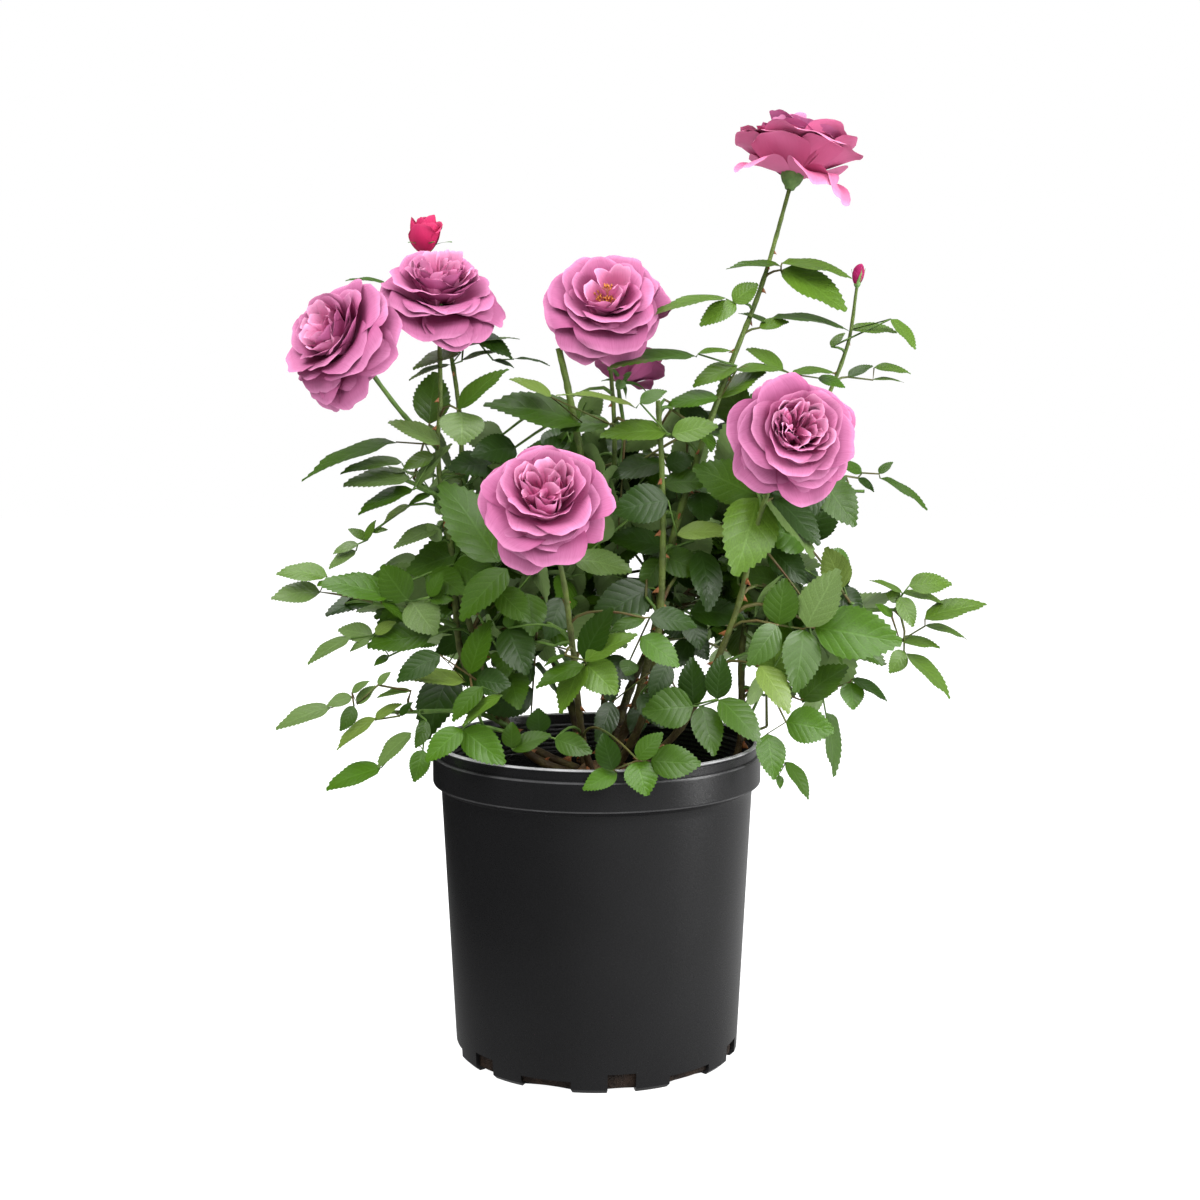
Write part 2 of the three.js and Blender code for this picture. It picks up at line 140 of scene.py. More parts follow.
# ---- limbs, in millimetres --------------------------------------------------
FLOWERS = {
    "left": {"foot": (-165, -42, 506), "facing": (-0.61, -0.61, 0.51)},
    "upper_left": {"foot": (-113, 10, 534), "facing": (0.06, -0.5, 0.86)},
    "centre": {"foot": (7, 22, 531), "facing": (0, -0.75, 0.65)},
    "front": {"foot": (-34, -97, 397), "facing": (0, -0.8, 0.6)},
    "right": {"foot": (130, -62, 446), "facing": (0.15, -0.94, 0.31)},
    "top": {"foot": (138, 14, 626), "facing": (0.2, 0.2, 0.96)},
    "half_open": {"foot": (16, 40, 483), "facing": (0.4, 0.5, 0.77)},
}
BUDS = {
    "left": {"foot": (-124, 30, 578), "facing": (0, 0, 1)},
    "right": {"foot": (190, 40, 556), "facing": (0.1, 0, 1)},
}
CANES = {
    "left_outer": {
        "path": [(-8, -3, 200), (-52, -2, 221), (-88, 2, 300), (-108, 2, 385), (-114, 0, 442), (-112, 3, 470),
                 FLOWERS["upper_left"]["foot"]],
        "radii": (3.1, 1.4),
    },
    "left_inner": {
        "path": [(-8, 6, 203), (-56, 12, 226), (-96, 12, 280), (-103, 14, 365), (-98, 16, 440),
                 (-106, 22, 510), BUDS["left"]["foot"]],
        "radii": (3.1, 1.2),
    },
    "centre": {
        "path": [(2, 6, 202), (6, 16, 260), (10, 22, 360), (13, 24, 450), FLOWERS["centre"]["foot"]],
        "radii": (2.9, 1.4),
    },
    "middle": {
        "path": [(10, -2, 200), (34, -16, 250), (45, -26, 325), (46, -28, 420), (43, -24, 474)],
        "radii": (3.2, 1.7),
    },
    "front": {
        "path": [(-2, -10, 200), (-10, -36, 236), (-17, -70, 310), (-24, -92, 362), FLOWERS["front"]["foot"]],
        "radii": (2.9, 1.5),
    },
    "right_front": {
        "path": [(10, -8, 198), (56, -22, 236), (96, -36, 320), (113, -42, 392), FLOWERS["right"]["foot"]],
        "radii": (2.9, 1.5),
    },
    "tall": {
        "path": [(8, 6, 203), (34, 12, 270), (54, 10, 370), (76, 2, 444), (96, 2, 500), (118, 10, 556),
                 FLOWERS["top"]["foot"]],
        "radii": (3.4, 1.4),
    },
    "right": {
        "path": [(88, 7, MIX_TOP - 8), (104, 2, 222), (106, 2, 300), (122, 14, 370), (158, 34, 450),
                 (184, 40, 515), BUDS["right"]["foot"]],
        "radii": (3, 1.2),
    },
    "back_left": {
        "path": [(-6, 10, 200), (-24, 40, 262), (-62, 84, 335), (-80, 108, 405)],
        "radii": (3.6, 1.8),
    },
    "back_right": {
        "path": [(6, 11, 200), (26, 42, 262), (66, 86, 335), (86, 108, 400)],
        "radii": (3.6, 1.8),
    },
}
BOUGHS = {
    "left_bloom": {"path": [(-114, 0, 440), (-136, -20, 464), FLOWERS["left"]["foot"]], "radii": (1.8, 1.5)},
    "left_upper": {"path": [(-112, 2, 404), (-124, -8, 412), (-150, -14, 424)], "radii": (1.7, 1.3)},
    "left_mid": {"path": [(-102, 13, 310), (-118, 0, 318), (-160, -14, 330)], "radii": (2, 1.4)},
    "left_low": {"path": [(-62, -1, 237), (-86, -12, 250), (-148, -20, 252)], "radii": (2.1, 1.4)},
    "front_left": {"path": [(-50, -2, 220), (-60, -34, 238), (-82, -74, 252)], "radii": (1.9, 1.4)},
    "pruned": {"path": [(9, 22, 350), (-8, 10, 420), (-20, 4, 480), (-27, 2, 511)], "radii": (2.7, 2.4)},
    "half_open": {"path": [(12, 23, 410), (20, 34, 444), FLOWERS["half_open"]["foot"]], "radii": (1.7, 1.4)},
    "right_mid": {"path": [(137, 22, 400), (160, 22, 408), (195, 20, 408)], "radii": (1.7, 1.2)},
    "right_spray": {
        "path": [(106, 2, 284), (150, 6, 316), (190, 6, 322), (224, 5, 323)],
        "radii": (1.9, 1.3),
    },
}
LIMB_STEP = 0.004  # from point to point of a limb's path, in metres
NODE_SPACING = 0.034  # between the joints of a cane, in metres
NODE_LENGTH = 0.0028  # of a joint's swelling
BARK = (0.006, 0.0006)  # size and depth of the relief, in metres
BURL = (0.012, 0.004)
ROOTSTOCK = [  # radius, and height above the mix
    (17, 0), (20, 3), (21.5, 8), (20, 12), (16, 16), (12.5, 20), (10, 22.5), (5, 24), (1, 24.3),
]
THORN_SIDES = 7
THORN_SINK = 0.08  # how deep a thorn's foot sits, as a share of its height
THORN_FOOT = (1.25, 0.5, 1)  # how its round foot is stretched along the cane and across it
THORN_STEPS = ((0.3, -0.04, 0.6), (0.35, -0.16, 0.5), (0.3, -0.26, 0.25))  # rise, slide down the cane, taper

# ---- leaves with a place of their own ---------------------------------------
# For each: its depth in millimetres and its leaflets from the end one back to the stalk. A leaflet has the
# place of its base, the place of its tip and the width that shows, in units of the camera's frame, and its
# tone.
# The tones of the placed leaves are partly their own colour and partly painted light: dark on the deep leaves
# in the middle of the bush is painted shade, and light, grey and pale on the left and the top are painted
# light and sheen.
PLACED_LEAVES = {
    "left_upper_long": (-26, [(396, 442, 302, 483, 21, "mid"), (439, 445, 388, 422, 18, "grey")]),
    "left_upper": (-20, [
        (402, 463, 340, 474, 14, "light"), (410, 479, 343, 486, 21, "grey"),
        (434, 455, 403, 470, 16, "light"), (413, 490, 358, 515, 17, "mid"),
        (417, 488, 453, 444, 15, "grey"), (431, 494, 409, 505, 8, "mid"),
    ]),
    "left_upper_low": (-10, [(440, 527, 394, 549, 17, "grey"), (441, 541, 427, 523, 14, "grey")]),
    "left_small": (0, [
        (356, 551, 329, 569, 12, "grey"), (358, 544, 333, 554, 10, "grey"),
        (367, 540, 348, 529, 9, "light"), (367, 540, 376, 520, 9, "light"),
        (372, 532, 388, 530, 6, "light"), (410, 505, 384, 523, 9, "pale"),
    ]),
    "inner_left_big": (-38, [(499, 562, 440, 483, 53, "mid")]),
    "inner_left_high": (-30, [(461, 412, 462, 445, 44, "grey"), (459, 410, 509, 369, 21, "mid")]),
    "left_top": (10, [
        (461, 352, 413, 370, 16, "light"), (451, 365, 409, 381, 9, "grey"),
        (462, 361, 503, 352, 8, "grey"), (463, 349, 520, 339, 8, "grey"),
    ]),
    "left_top_right": (14, [
        (514, 359, 550, 366, 5, "dark"), (493, 360, 514, 368, 6, "dark"), (472, 334, 512, 359, 18, "dark"),
    ]),
    "centre_top_left": (0, [
        (584, 424, 483, 406, 36, "mid"), (551, 397, 509, 379, 12, "pale"), (610, 424, 560, 431, 18, "mid"),
    ]),
    "centre_top": (-34, [
        (636, 408, 555, 397, 11, "pale"), (640, 403, 667, 391, 14, "mid"),
        (667, 433, 600, 437, 24, "light"), (672, 435, 718, 426, 25, "light"),
    ]),
    "right_inner_arch": (-6, [
        (696, 357, 607, 370, 19, "mid"), (698, 354, 734, 352, 8, "light"),
        (737, 366, 693, 387, 19, "light"),
    ]),
    "right_inner": (-2, [
        (718, 398, 665, 408, 18, "bright"), (720, 398, 766, 372, 19, "light"),
        (736, 371, 785, 372, 12, "light"),
    ]),
    "right_inner_far": (12, [
        (818, 378, 845, 388, 12, "bright"), (791, 374, 836, 374, 10, "light"),
        (783, 370, 746, 349, 16, "light"),
    ]),
    "right_upper_left": (-22, [(757, 496, 693, 467, 45, "mid"), (758, 494, 806, 470, 30, "dark")]),
    "right_upper": (-30, [
        (757, 498, 734, 576, 57, "light"), (761, 492, 813, 559, 25, "grey"),
        (774, 498, 819, 546, 30, "dark"),
    ]),
    "right_upper_far": (-8, [(822, 480, 855, 527, 38, "mid"), (824, 482, 800, 520, 26, "dark")]),
    "right_upper_pale": (-30, [(677, 535, 737, 534, 18, "pale"), (668, 500, 612, 512, 40, "dark")]),
    "left_mid_high": (-16, [(327, 576, 276, 574, 18, "light"), (320, 592, 271, 599, 21, "grey")]),
    "left_mid": (-28, [
        (392, 597, 317, 584, 25, "bright"), (408, 600, 382, 565, 36, "mid"),
        (382, 601, 402, 620, 8, "mid"), (411, 601, 436, 635, 38, "grey"), (430, 597, 443, 572, 15, "mid"),
        (430, 600, 454, 600, 11, "mid"),
    ]),
    "left_mid_low": (-22, [
        (351, 638, 308, 665, 14, "grey"), (373, 636, 338, 630, 19, "grey"),
        (370, 640, 350, 652, 8, "grey"), (375, 634, 396, 622, 12, "pale"),
        (389, 656, 374, 666, 8, "bright"), (431, 636, 367, 647, 28, "mid"),
    ]),
    "left_low_long": (-34, [
        (331, 708, 276, 730, 17, "grey"), (352, 697, 327, 706, 13, "grey"),
        (354, 706, 340, 731, 15, "mid"), (352, 693, 370, 681, 8, "grey"), (357, 704, 376, 686, 12, "grey"),
        (378, 685, 391, 672, 8, "grey"), (411, 691, 377, 698, 6, "light"),
    ]),
    "left_low_pale": (-40, [
        (376, 718, 337, 751, 13, "pale"), (375, 720, 402, 704, 10, "pale"),
        (400, 716, 413, 702, 8, "dark"),
    ]),
    "left_low_end": (-48, [
        (381, 768, 326, 790, 19, "bright"), (411, 733, 378, 768, 16, "grey"),
        (423, 750, 414, 782, 21, "bright"), (426, 720, 415, 748, 14, "mid"),
    ]),
    "rim_left": (-96, [
        (463, 730, 505, 764, 34, "bright"), (462, 729, 426, 762, 25, "bright"),
        (502, 695, 463, 727, 12, "light"), (482, 687, 453, 722, 20, "mid"),
    ]),
    "front_left_high": (-58, [
        (466, 682, 406, 680, 15, "pale"), (440, 655, 397, 682, 25, "dark"),
        (476, 680, 511, 685, 28, "dark"), (470, 674, 491, 620, 27, "mid"),
    ]),
    "front_left_upper": (-44, [
        (507, 569, 461, 621, 33, "mid"), (498, 590, 530, 622, 30, "mid"), (528, 594, 532, 636, 33, "mid"),
        (507, 628, 527, 675, 38, "dark"), (509, 628, 509, 612, 12, "bright"),
    ]),
    "rim_middle": (-84, [
        (512, 748, 512, 722, 20, "mid"), (512, 750, 551, 735, 17, "mid"), (540, 733, 538, 708, 25, "dark"),
        (555, 739, 592, 753, 23, "mid"),
    ]),
    "front": (-104, [
        (584, 665, 536, 689, 17, "mid"), (585, 663, 561, 714, 23, "light"),
        (586, 664, 617, 694, 36, "light"), (585, 661, 638, 635, 18, "light"),
        (584, 660, 613, 608, 27, "dark"), (565, 655, 544, 667, 5, "mid"),
    ]),
    "front_right": (-88, [
        (641, 637, 679, 667, 27, "bright"), (630, 660, 626, 676, 20, "mid"),
        (650, 617, 697, 627, 23, "dark"), (645, 618, 610, 633, 14, "mid"),
    ]),
    "right_centre": (-74, [
        (693, 706, 642, 712, 41, "mid"), (701, 706, 714, 756, 32, "mid"), (719, 700, 760, 743, 29, "mid"),
        (717, 699, 722, 655, 27, "dark"), (694, 705, 692, 657, 29, "dark"),
    ]),
    "rim_front": (-122, [
        (617, 772, 583, 790, 20, "bright"), (613, 770, 603, 733, 26, "dark"),
        (636, 761, 647, 796, 34, "bright"), (651, 761, 701, 764, 34, "mid"),
        (637, 759, 663, 733, 20, "mid"),
    ]),
    "right_big": (-46, [
        (815, 628, 902, 643, 52, "bright"), (807, 627, 839, 569, 37, "grey"),
        (803, 629, 795, 693, 40, "mid"), (779, 625, 785, 578, 35, "mid"), (777, 625, 747, 666, 30, "mid"),
    ]),
    "right_pale": (-20, [(844, 587, 826, 547, 30, "pale")]),
    "centre_deep_top": (4, [(664, 462, 610, 478, 26, "dark"), (666, 466, 694, 458, 22, "dark")]),
    "centre_deep_right": (2, [(664, 484, 712, 482, 24, "mid"), (700, 492, 704, 524, 30, "dark")]),
    "centre_deep_low": (-6, [(664, 548, 606, 538, 26, "dark"), (662, 556, 706, 574, 30, "mid")]),
    "centre_deep_middle": (-10, [(700, 550, 708, 612, 32, "dark"), (660, 560, 640, 590, 26, "mid")]),
    "centre_deep_left": (-14, [(574, 560, 632, 572, 26, "grey"), (650, 588, 590, 624, 42, "dark")]),
    "centre_deep_foot": (-8, [(690, 612, 748, 618, 28, "dark"), (690, 616, 700, 650, 26, "dark")]),
    "centre_foot": (-24, [
        (612, 702, 596, 742, 24, "dark"), (664, 662, 648, 700, 20, "dark"),
        (676, 690, 662, 722, 20, "dark"),
    ]),
    "centre_foot_left": (8, [
        (604, 664, 612, 704, 26, "dark"), (600, 660, 572, 684, 22, "dark"),
        (606, 658, 634, 680, 22, "dark"),
    ]),
    "centre_foot_middle": (14, [
        (640, 706, 632, 738, 22, "dark"), (644, 700, 662, 728, 20, "dark"),
        (642, 690, 668, 686, 16, "mid"),
    ]),
    "centre_deep_gap": (4, [
        (690, 640, 672, 668, 24, "dark"), (690, 634, 708, 660, 22, "dark"),
        (688, 628, 664, 632, 18, "dark"),
    ]),
    "centre_low": (-52, [(668, 662, 650, 698, 24, "dark"), (640, 694, 664, 728, 24, "dark")]),
    "left_top_back": (24, [(386, 284, 345, 281, 7, "mid")]),
    "centre_deep_bloom": (-30, [(562, 598, 546, 640, 30, "dark")]),
    "right_deep": (-6, [(770, 548, 806, 584, 30, "dark"), (838, 590, 862, 612, 24, "dark")]),
    "right_low_far": (-30, [
        (852, 679, 887, 702, 11, "dark"), (850, 682, 853, 710, 25, "bright"),
        (801, 700, 848, 666, 28, "mid"),
    ]),
    "right_low": (-52, [
        (786, 762, 808, 800, 15, "mid"), (779, 775, 780, 789, 8, "bright"),
        (767, 734, 774, 780, 30, "bright"), (786, 722, 834, 731, 37, "bright"),
        (759, 666, 789, 714, 27, "pale"),
    ]),
    "right_spray_high": (6, [
        (909, 586, 952, 584, 21, "light"), (903, 594, 869, 581, 7, "light"),
        (903, 593, 943, 604, 9, "light"), (900, 599, 886, 593, 14, "light"),
        (900, 597, 913, 627, 20, "light"),
    ]),
    "right_spray": (2, [
        (925, 619, 987, 605, 17, "light"), (925, 626, 967, 640, 8, "light"),
        (900, 641, 940, 648, 11, "light"), (892, 617, 875, 604, 9, "bright"),
    ]),
    "right_spray_low": (6, [(906, 654, 950, 699, 18, "light"), (904, 651, 889, 673, 20, "light")]),
    "right_mid": (26, [
        (880, 478, 927, 511, 12, "mid"), (879, 474, 893, 462, 8, "mid"), (862, 473, 838, 463, 12, "mid"),
        (858, 478, 874, 492, 9, "dark"), (846, 476, 829, 488, 10, "mid"),
    ]),
    "top_right": (4, [
        (782, 263, 852, 280, 17, "light"), (781, 266, 726, 270, 12, "mid"),
        (781, 270, 846, 312, 33, "light"),
    ]),
    "top_right_left": (2, [
        (726, 299, 651, 316, 15, "light"), (736, 304, 700, 326, 21, "light"),
        (733, 302, 758, 284, 21, "light"),
    ]),
    "top_right_low": (6, [
        (772, 318, 849, 332, 14, "mid"), (770, 324, 738, 314, 8, "mid"), (759, 328, 789, 322, 13, "light"),
    ]),
    "right_bud_high": (40, [
        (850, 330, 897, 333, 14, "light"), (891, 319, 915, 350, 15, "light"),
        (831, 347, 845, 333, 8, "light"),
    ]),
    "right_bud": (44, [
        (874, 368, 911, 374, 11, "light"), (873, 380, 904, 383, 5, "light"),
        (848, 377, 873, 366, 10, "mid"),
    ]),
}
# Patches of the camera's frame that stay open right through the bush: left, top, right, bottom.
OPENINGS = [
    (519, 650, 546, 722), (558, 698, 582, 727), (608, 688, 642, 722), (700, 638, 716, 662),
    (350, 350, 430, 425), (300, 500, 445, 560), (515, 270, 545, 345), (655, 340, 690, 352),
]

# ---- sizes of what repeats --------------------------------------------------
LEAFLET_SEGMENTS = 13  # teeth along each side of a leaflet
TOOTH_LEAN = 0.34  # how far a tooth leans towards the tip, as a share of its own length
TOOTH_DEPTH = 0.075  # as a share of the leaflet's half width
LEAFLET_FULLNESS = 2.95
LEAFLET_FOOT = 0.62  # the smaller, the rounder a leaflet's foot
LEAFLET_NECK = 0.05  # its half width where it joins the stalk, as a share of its widest
PETAL_GRID = 10
PETAL_STEPS = 32  # along a petal's middle line
PETAL_SHOULDER = 0.68  # where along its length a petal is widest
PETAL_EDGE = 0.55  # how much paler a petal's thin edge is
LOWEST_LEAF = 0.202  # no leaf that grows by rule hangs lower
NEAR_DROOP = 0.35  # how much nearer a hanging tip is than its base, as a share of its fall
FAR_RISE = 0.2  # how much farther a rising tip is, as a share of its rise
PLACED_WIDTH = 0.6  # a leaflet's width as a share of its length
STALK = {"foot": 1.15 * MM, "tip": 0.55 * MM}
SHOOT = {"foot": 1.7 * MM, "tip": 1.0 * MM}

PETAL_LAYERS = [
    # count, length, width, tilt at the foot and at the end, ring, lift, curl across, turn back, slot
    (6, 44, 54, 74, 100, 4.4, 8.0, 80, 0.10, 2),
    (5, 43, 55, 66, 80, 4.4, 9.5, 52, 0.11, 2),
    (5, 41, 52, 60, 60, 4.2, 10.5, 38, 0.11, 2),
    (5, 40, 48, 55, 36, 4.0, 11.5, 30, 0.10, 1),
    (5, 38, 42, 48, 16, 3.6, 12.0, 23, 0.09, 1),
    (5, 36, 34, 40, 2, 3.0, 12.5, 17, 0.07, 1),
]
HEART_LAYERS = [  # folded petals, nested round each cluster of a flower's heart
    (3, 34, 26, 28, 2, 3.4, 13.0, 10.0, 0.06, 0),
    (2, 34, 21, 22, -2, 2.2, 13.5, 7.0, 0.05, 0),
    (2, 33, 15, 12, -4, 1.2, 14.0, 4.5, 0.04, 0),
]
PETAL_SCATTER = {"turn": 13, "size": 0.08, "foot": 5, "end": 10, "skew": 0.09, "lift": 1.6}
OUTER_SCATTER = 1.35  # how much looser the outer petals lie


def linear(red, green, blue):
    """A colour picked as 0 to 255 on a screen, as the renderer counts it."""
    return tuple(
        (c / 255 / 12.92) if c / 255 <= 0.04045 else ((c / 255 + 0.055) / 1.055) ** 2.4
        for c in (red, green, blue)
    )


# Tones of the leaves. Dealt out at random they are the leaves' own differing greens; where placed leaves get
# them, dark also stands for painted shade, and light, grey and pale for painted light and sheen.
TONES = {
    "dark": linear(32, 58, 4),
    "mid": linear(52, 82, 10),
    "bright": linear(60, 96, 8),
    "light": linear(76, 106, 28),
    "grey": linear(88, 112, 56),
    "pale": linear(96, 118, 48),
}
TONE_SHARES = {"dark": 0.3, "mid": 0.4, "bright": 0.16, "light": 0.08, "grey": 0.06}
UNDERSIDE = linear(124, 148, 92)
UNDERSIDE_SHARE = 0.62  # of that colour on a leaf's back
VEIN_LEAN = 0.26  # how far a side vein runs on towards the tip, as a share of the leaflet's length
SIDE_VEIN = 0.6  # how strong a side vein is beside the midrib
VEIN_PALE = 0.26  # how much of the lighter green a vein takes
PETAL_COLOURS = {  # at the foot, in the middle, at the rim and behind
    # inner: the heart's own paler pink, lifted further as painted light that stands in for the light shining
    # through its petals
    "inner": ((232, 160, 194), (214, 130, 172), (220, 156, 190), (212, 132, 176)),
    "middle": ((186, 102, 140), (170, 84, 129), (184, 114, 152), (174, 90, 138)),
    "outer": ((176, 98, 136), (161, 78, 122), (173, 104, 143), (166, 82, 130)),
    "faded": ((202, 114, 152), (190, 93, 134), (202, 122, 158), (186, 96, 136)),
    "bud": ((160, 30, 72), (170, 30, 78), (190, 62, 106), (172, 34, 82)),
    "bud_dark": ((130, 24, 66), (148, 28, 84), (170, 52, 108), (140, 26, 78)),
}
MOTTLED = {  # two colours, least and most roughness, scales of patches and grain, and the grain's height
    "young_shoot": ((66, 96, 38), (88, 116, 50), (0.5, 0.62), 120.0, 900.0, 0.0003),
    "red_stalk": ((88, 66, 38), (78, 96, 44), (0.5, 0.62), 60.0, 900.0, 0.0002),
    "thorn": ((118, 66, 40), (142, 98, 56), (0.35, 0.5), 300.0, 900.0, 0.0001),
    "mix_bed": ((22, 15, 10), (46, 33, 24), (0.85, 0.98), 120.0, 700.0, 0.003),
    "mix_chip": ((74, 48, 30), (120, 86, 58), (0.75, 0.95), 60.0, 500.0, 0.0008),
    "rootstock_bark": ((84, 62, 42), (120, 96, 66), (0.7, 0.9), 160.0, 600.0, 0.0015),
    "sepal": ((74, 110, 52), (104, 138, 74), (0.5, 0.62), 150.0, 900.0, 0.0003),
}
PLASTIC = ((18, 18, 19), (22, 22, 23), (0.26, 0.33), 9.0, 1400.0, 0.00003)  # in the same order
PLASTIC_GLOSS = 0.32
# painted highlight: the light grey of the lines that the rim and the band's edges catch
EDGE_HIGHLIGHT_GREY = linear(196, 196, 198)
HIGHLIGHT_PATCH_SCALE = 46.0  # of the patches that break the painted highlights up
HIGHLIGHT_LEAST = 0.45  # strength of a painted highlight where it is weakest, as a share
OLD_WOOD = (linear(54, 42, 25), linear(78, 64, 38))
YOUNG_WOOD = (linear(66, 86, 32), linear(90, 108, 44))
WOOD_AGES = (0.215, 0.40)  # heights in metres between which old wood gives way to young


def metres(path):
    return [np.array(point, float) * MM for point in path]


def unit(vector):
    return vector / max(np.linalg.norm(vector), 1e-12)


def deselect():
    bpy.ops.object.select_all(action="DESELECT")


def choose(piece):
    deselect()
    piece.select_set(True)
    bpy.context.view_layer.objects.active = piece


def edit_all():
    """Goes into edit mode with all of the piece selected."""
    bpy.ops.object.mode_set(mode="EDIT")
    bpy.ops.mesh.select_all(action="SELECT")


def closed_piece():
    """Turns all faces of a closed shell outwards, leaves edit mode and gives the piece."""
    bpy.ops.mesh.select_all(action="SELECT")
    bpy.ops.mesh.normals_make_consistent(inside=False)
    bpy.ops.object.mode_set(mode="OBJECT")
    return bpy.context.object


def apply_modifier(piece, kind, **settings):
    choose(piece)
    modifier = piece.modifiers.new(kind.lower(), kind)
    for name, value in settings.items():
        setattr(modifier, name, value)
    bpy.ops.object.modifier_apply(modifier=modifier.name)


def finish_piece(piece, name, materials, nodes=()):
    """Names a piece, gives it its materials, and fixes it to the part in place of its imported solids."""
    piece.name = piece.data.name = name
    for material in materials:
        piece.data.materials.append(material)
    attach(piece, "root")
    if nodes:
        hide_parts(*nodes)


def between(first, second, low, high, at):
    return first * (high - at) / (high - low) + second * (at - low) / (high - low)


def smooth_path(points, step=LIMB_STEP):
    """Points every `step` along a centripetal curve through the given points."""
    points = [np.array(p, float) for p in points]
    ends = [2 * points[0] - points[1], *points, 2 * points[-1] - points[-2]]
    fine = []
    for a, b, c, d in zip(ends, ends[1:], ends[2:], ends[3:]):
        k = np.cumsum([0, *(max(math.dist(p, q), 1e-9) ** 0.5 for p, q in ((a, b), (b, c), (c, d)))])
        for t in np.linspace(k[1], k[2], 24, endpoint=False):
            ab, bc = between(a, b, k[0], k[1], t), between(b, c, k[1], k[2], t)
            cd = between(c, d, k[2], k[3], t)
            abc, bcd = between(ab, bc, k[0], k[2], t), between(bc, cd, k[1], k[3], t)
            fine.append(between(abc, bcd, k[1], k[2], t))
    fine = np.array([*fine, points[-1]])
    lengths = np.concatenate([[0], np.cumsum(np.linalg.norm(np.diff(fine, axis=0), axis=1))])
    even = np.linspace(0, lengths[-1], max(3, int(lengths[-1] / step) + 1))
    return np.stack([np.interp(even, lengths, fine[:, i]) for i in range(3)], axis=1)


# ---- joined small shapes ----------------------------------------------------
class Sheaf:
    """Many small shapes gathered into one mesh, each with its slot and its own place on the surface map."""

    def __init__(self, map_name=None):
        self.map_name = map_name
        self.points, self.faces, self.slots, self.maps = [], [], [], []
        self.count = 0

    def add(self, points, faces, slot=0, surface=None):
        self.points.append(points)
        self.faces += [tuple(i + self.count for i in face) for face in faces]
        self.slots += [slot] * len(faces)
        if self.map_name:
            self.maps.append(np.zeros((len(points), 3)) if surface is None else
                             np.column_stack([surface, np.full(len(points), slot)]))
        self.count += len(points)

    def tube(self, path, radii, sides=5, slot=0):
        """A round stalk that tapers along a path and closes at both ends."""
        path = np.asarray(path)
        across = unit(np.cross(unit(path[1] - path[0]), (0.31, 0.94, 0.12)))
        rings = []
        for i, point in enumerate(path):
            heading = unit(path[min(i + 1, len(path) - 1)] - path[max(i - 1, 0)])
            across = unit(across - heading * (across @ heading))
            beside = np.cross(heading, across)
            radius = radii[0] + (radii[1] - radii[0]) * i / (len(path) - 1)
            for k in range(sides):
                turn = 2 * math.pi * k / sides
                rings.append(point + radius * (across * math.cos(turn) + beside * math.sin(turn)))
        faces = []
        last = (len(path) - 1) * sides
        for ring in range(0, last, sides):
            for k in range(sides):
                after = (k + 1) % sides
                faces.append((ring + k, ring + after, ring + sides + after, ring + sides + k))
        faces += [tuple(range(sides))[::-1], tuple(range(last, last + sides))]
        self.add(np.array(rings), faces, slot)

    def build(self, name, materials, slot, nodes=()):
        mesh = bpy.data.meshes.new(name)
        points = np.concatenate(self.points)
        mesh.from_pydata(points.tolist(), [], self.faces)
        mesh.polygons.foreach_set("material_index", self.slots)
        mesh.polygons.foreach_set("use_smooth", [True] * len(self.faces))
        if self.map_name:
            surface = np.concatenate(self.maps)
            corners = np.zeros(len(mesh.loops), int)
            mesh.loops.foreach_get("vertex_index", corners)
            own = mesh.uv_layers.new(name=self.map_name)
            own.data.foreach_set("uv", surface[corners, :2].ravel())
            stacked = mesh.uv_layers.new(name="OFBake")
            stacked.data.foreach_set("uv", stack_on_map(surface[corners], len(materials)).ravel())
        mesh.update()
        piece = bpy.data.objects.new(name, mesh)
        bpy.context.scene.collection.objects.link(piece)
        finish_piece(piece, name, materials, nodes)


def stack_on_map(surface, slots):
    """Lays every leaflet or petal of a slot over the others in that slot's own cell of the map."""
    columns = math.ceil(math.sqrt(slots))
    rows = math.ceil(slots / columns)
    margin = 0.04
    slot = surface[:, 2].astype(int)
    inside = margin + surface[:, :2] * (1 - 2 * margin)
    return np.column_stack([
        (slot % columns + inside[:, 0]) / columns,
        (slot // columns + inside[:, 1]) / rows,
    ])


def taken_apart(piece):
    """The points and faces of a piece that is modelled once and then copied. The piece itself is removed."""
    points = np.array([v.co for v in piece.data.vertices])
    faces = [tuple(p.vertices) for p in piece.data.polygons]
    bpy.data.objects.remove(piece)
    return points, faces


class Master:
    """A flat grid that is modelled once: where its points are, its faces and its place on the surface map."""

    def __init__(self, piece):
        points, self.faces = taken_apart(piece)
        self.flat = points[:, :2]
        self.surface = np.column_stack([self.flat[:, 0], (self.flat[:, 1] + 1) / 2])


def grid_master(columns, rows, toothed=False):
    """A flat grid from 0 to 1 along X and -1 to 1 along Y. A toothed one has an extra point in the middle of
    each edge of its long sides."""
    deselect()
    bpy.ops.mesh.primitive_grid_add(x_subdivisions=columns, y_subdivisions=rows, size=2, location=(0, 0, 0))
    piece = bpy.context.object
    edit_all()
    bpy.ops.transform.translate(value=(1, 0, 0))
    bpy.ops.transform.resize(value=(0.5, 1, 1), center_override=(0, 0, 0))
    if toothed:
        bpy.ops.mesh.select_mode(type="EDGE")
        bpy.ops.mesh.select_all(action="DESELECT")
        bpy.ops.object.mode_set(mode="OBJECT")
        places = [v.co for v in piece.data.vertices]
        for edge in piece.data.edges:
            edge.select = all(abs(abs(places[i].y) - 1) < 1e-4 for i in edge.vertices)
        bpy.ops.object.mode_set(mode="EDIT")
        bpy.ops.mesh.subdivide(number_cuts=1)
        bpy.ops.mesh.select_mode(type="VERT")
    bpy.ops.object.mode_set(mode="OBJECT")
    return Master(piece)


def leaf_outline(along):
    """A leaflet's half width along its length, as a share of its widest."""
    along = np.clip(along, 0, 1)
    return LEAFLET_FULLNESS * along**LEAFLET_FOOT * (1 - along)


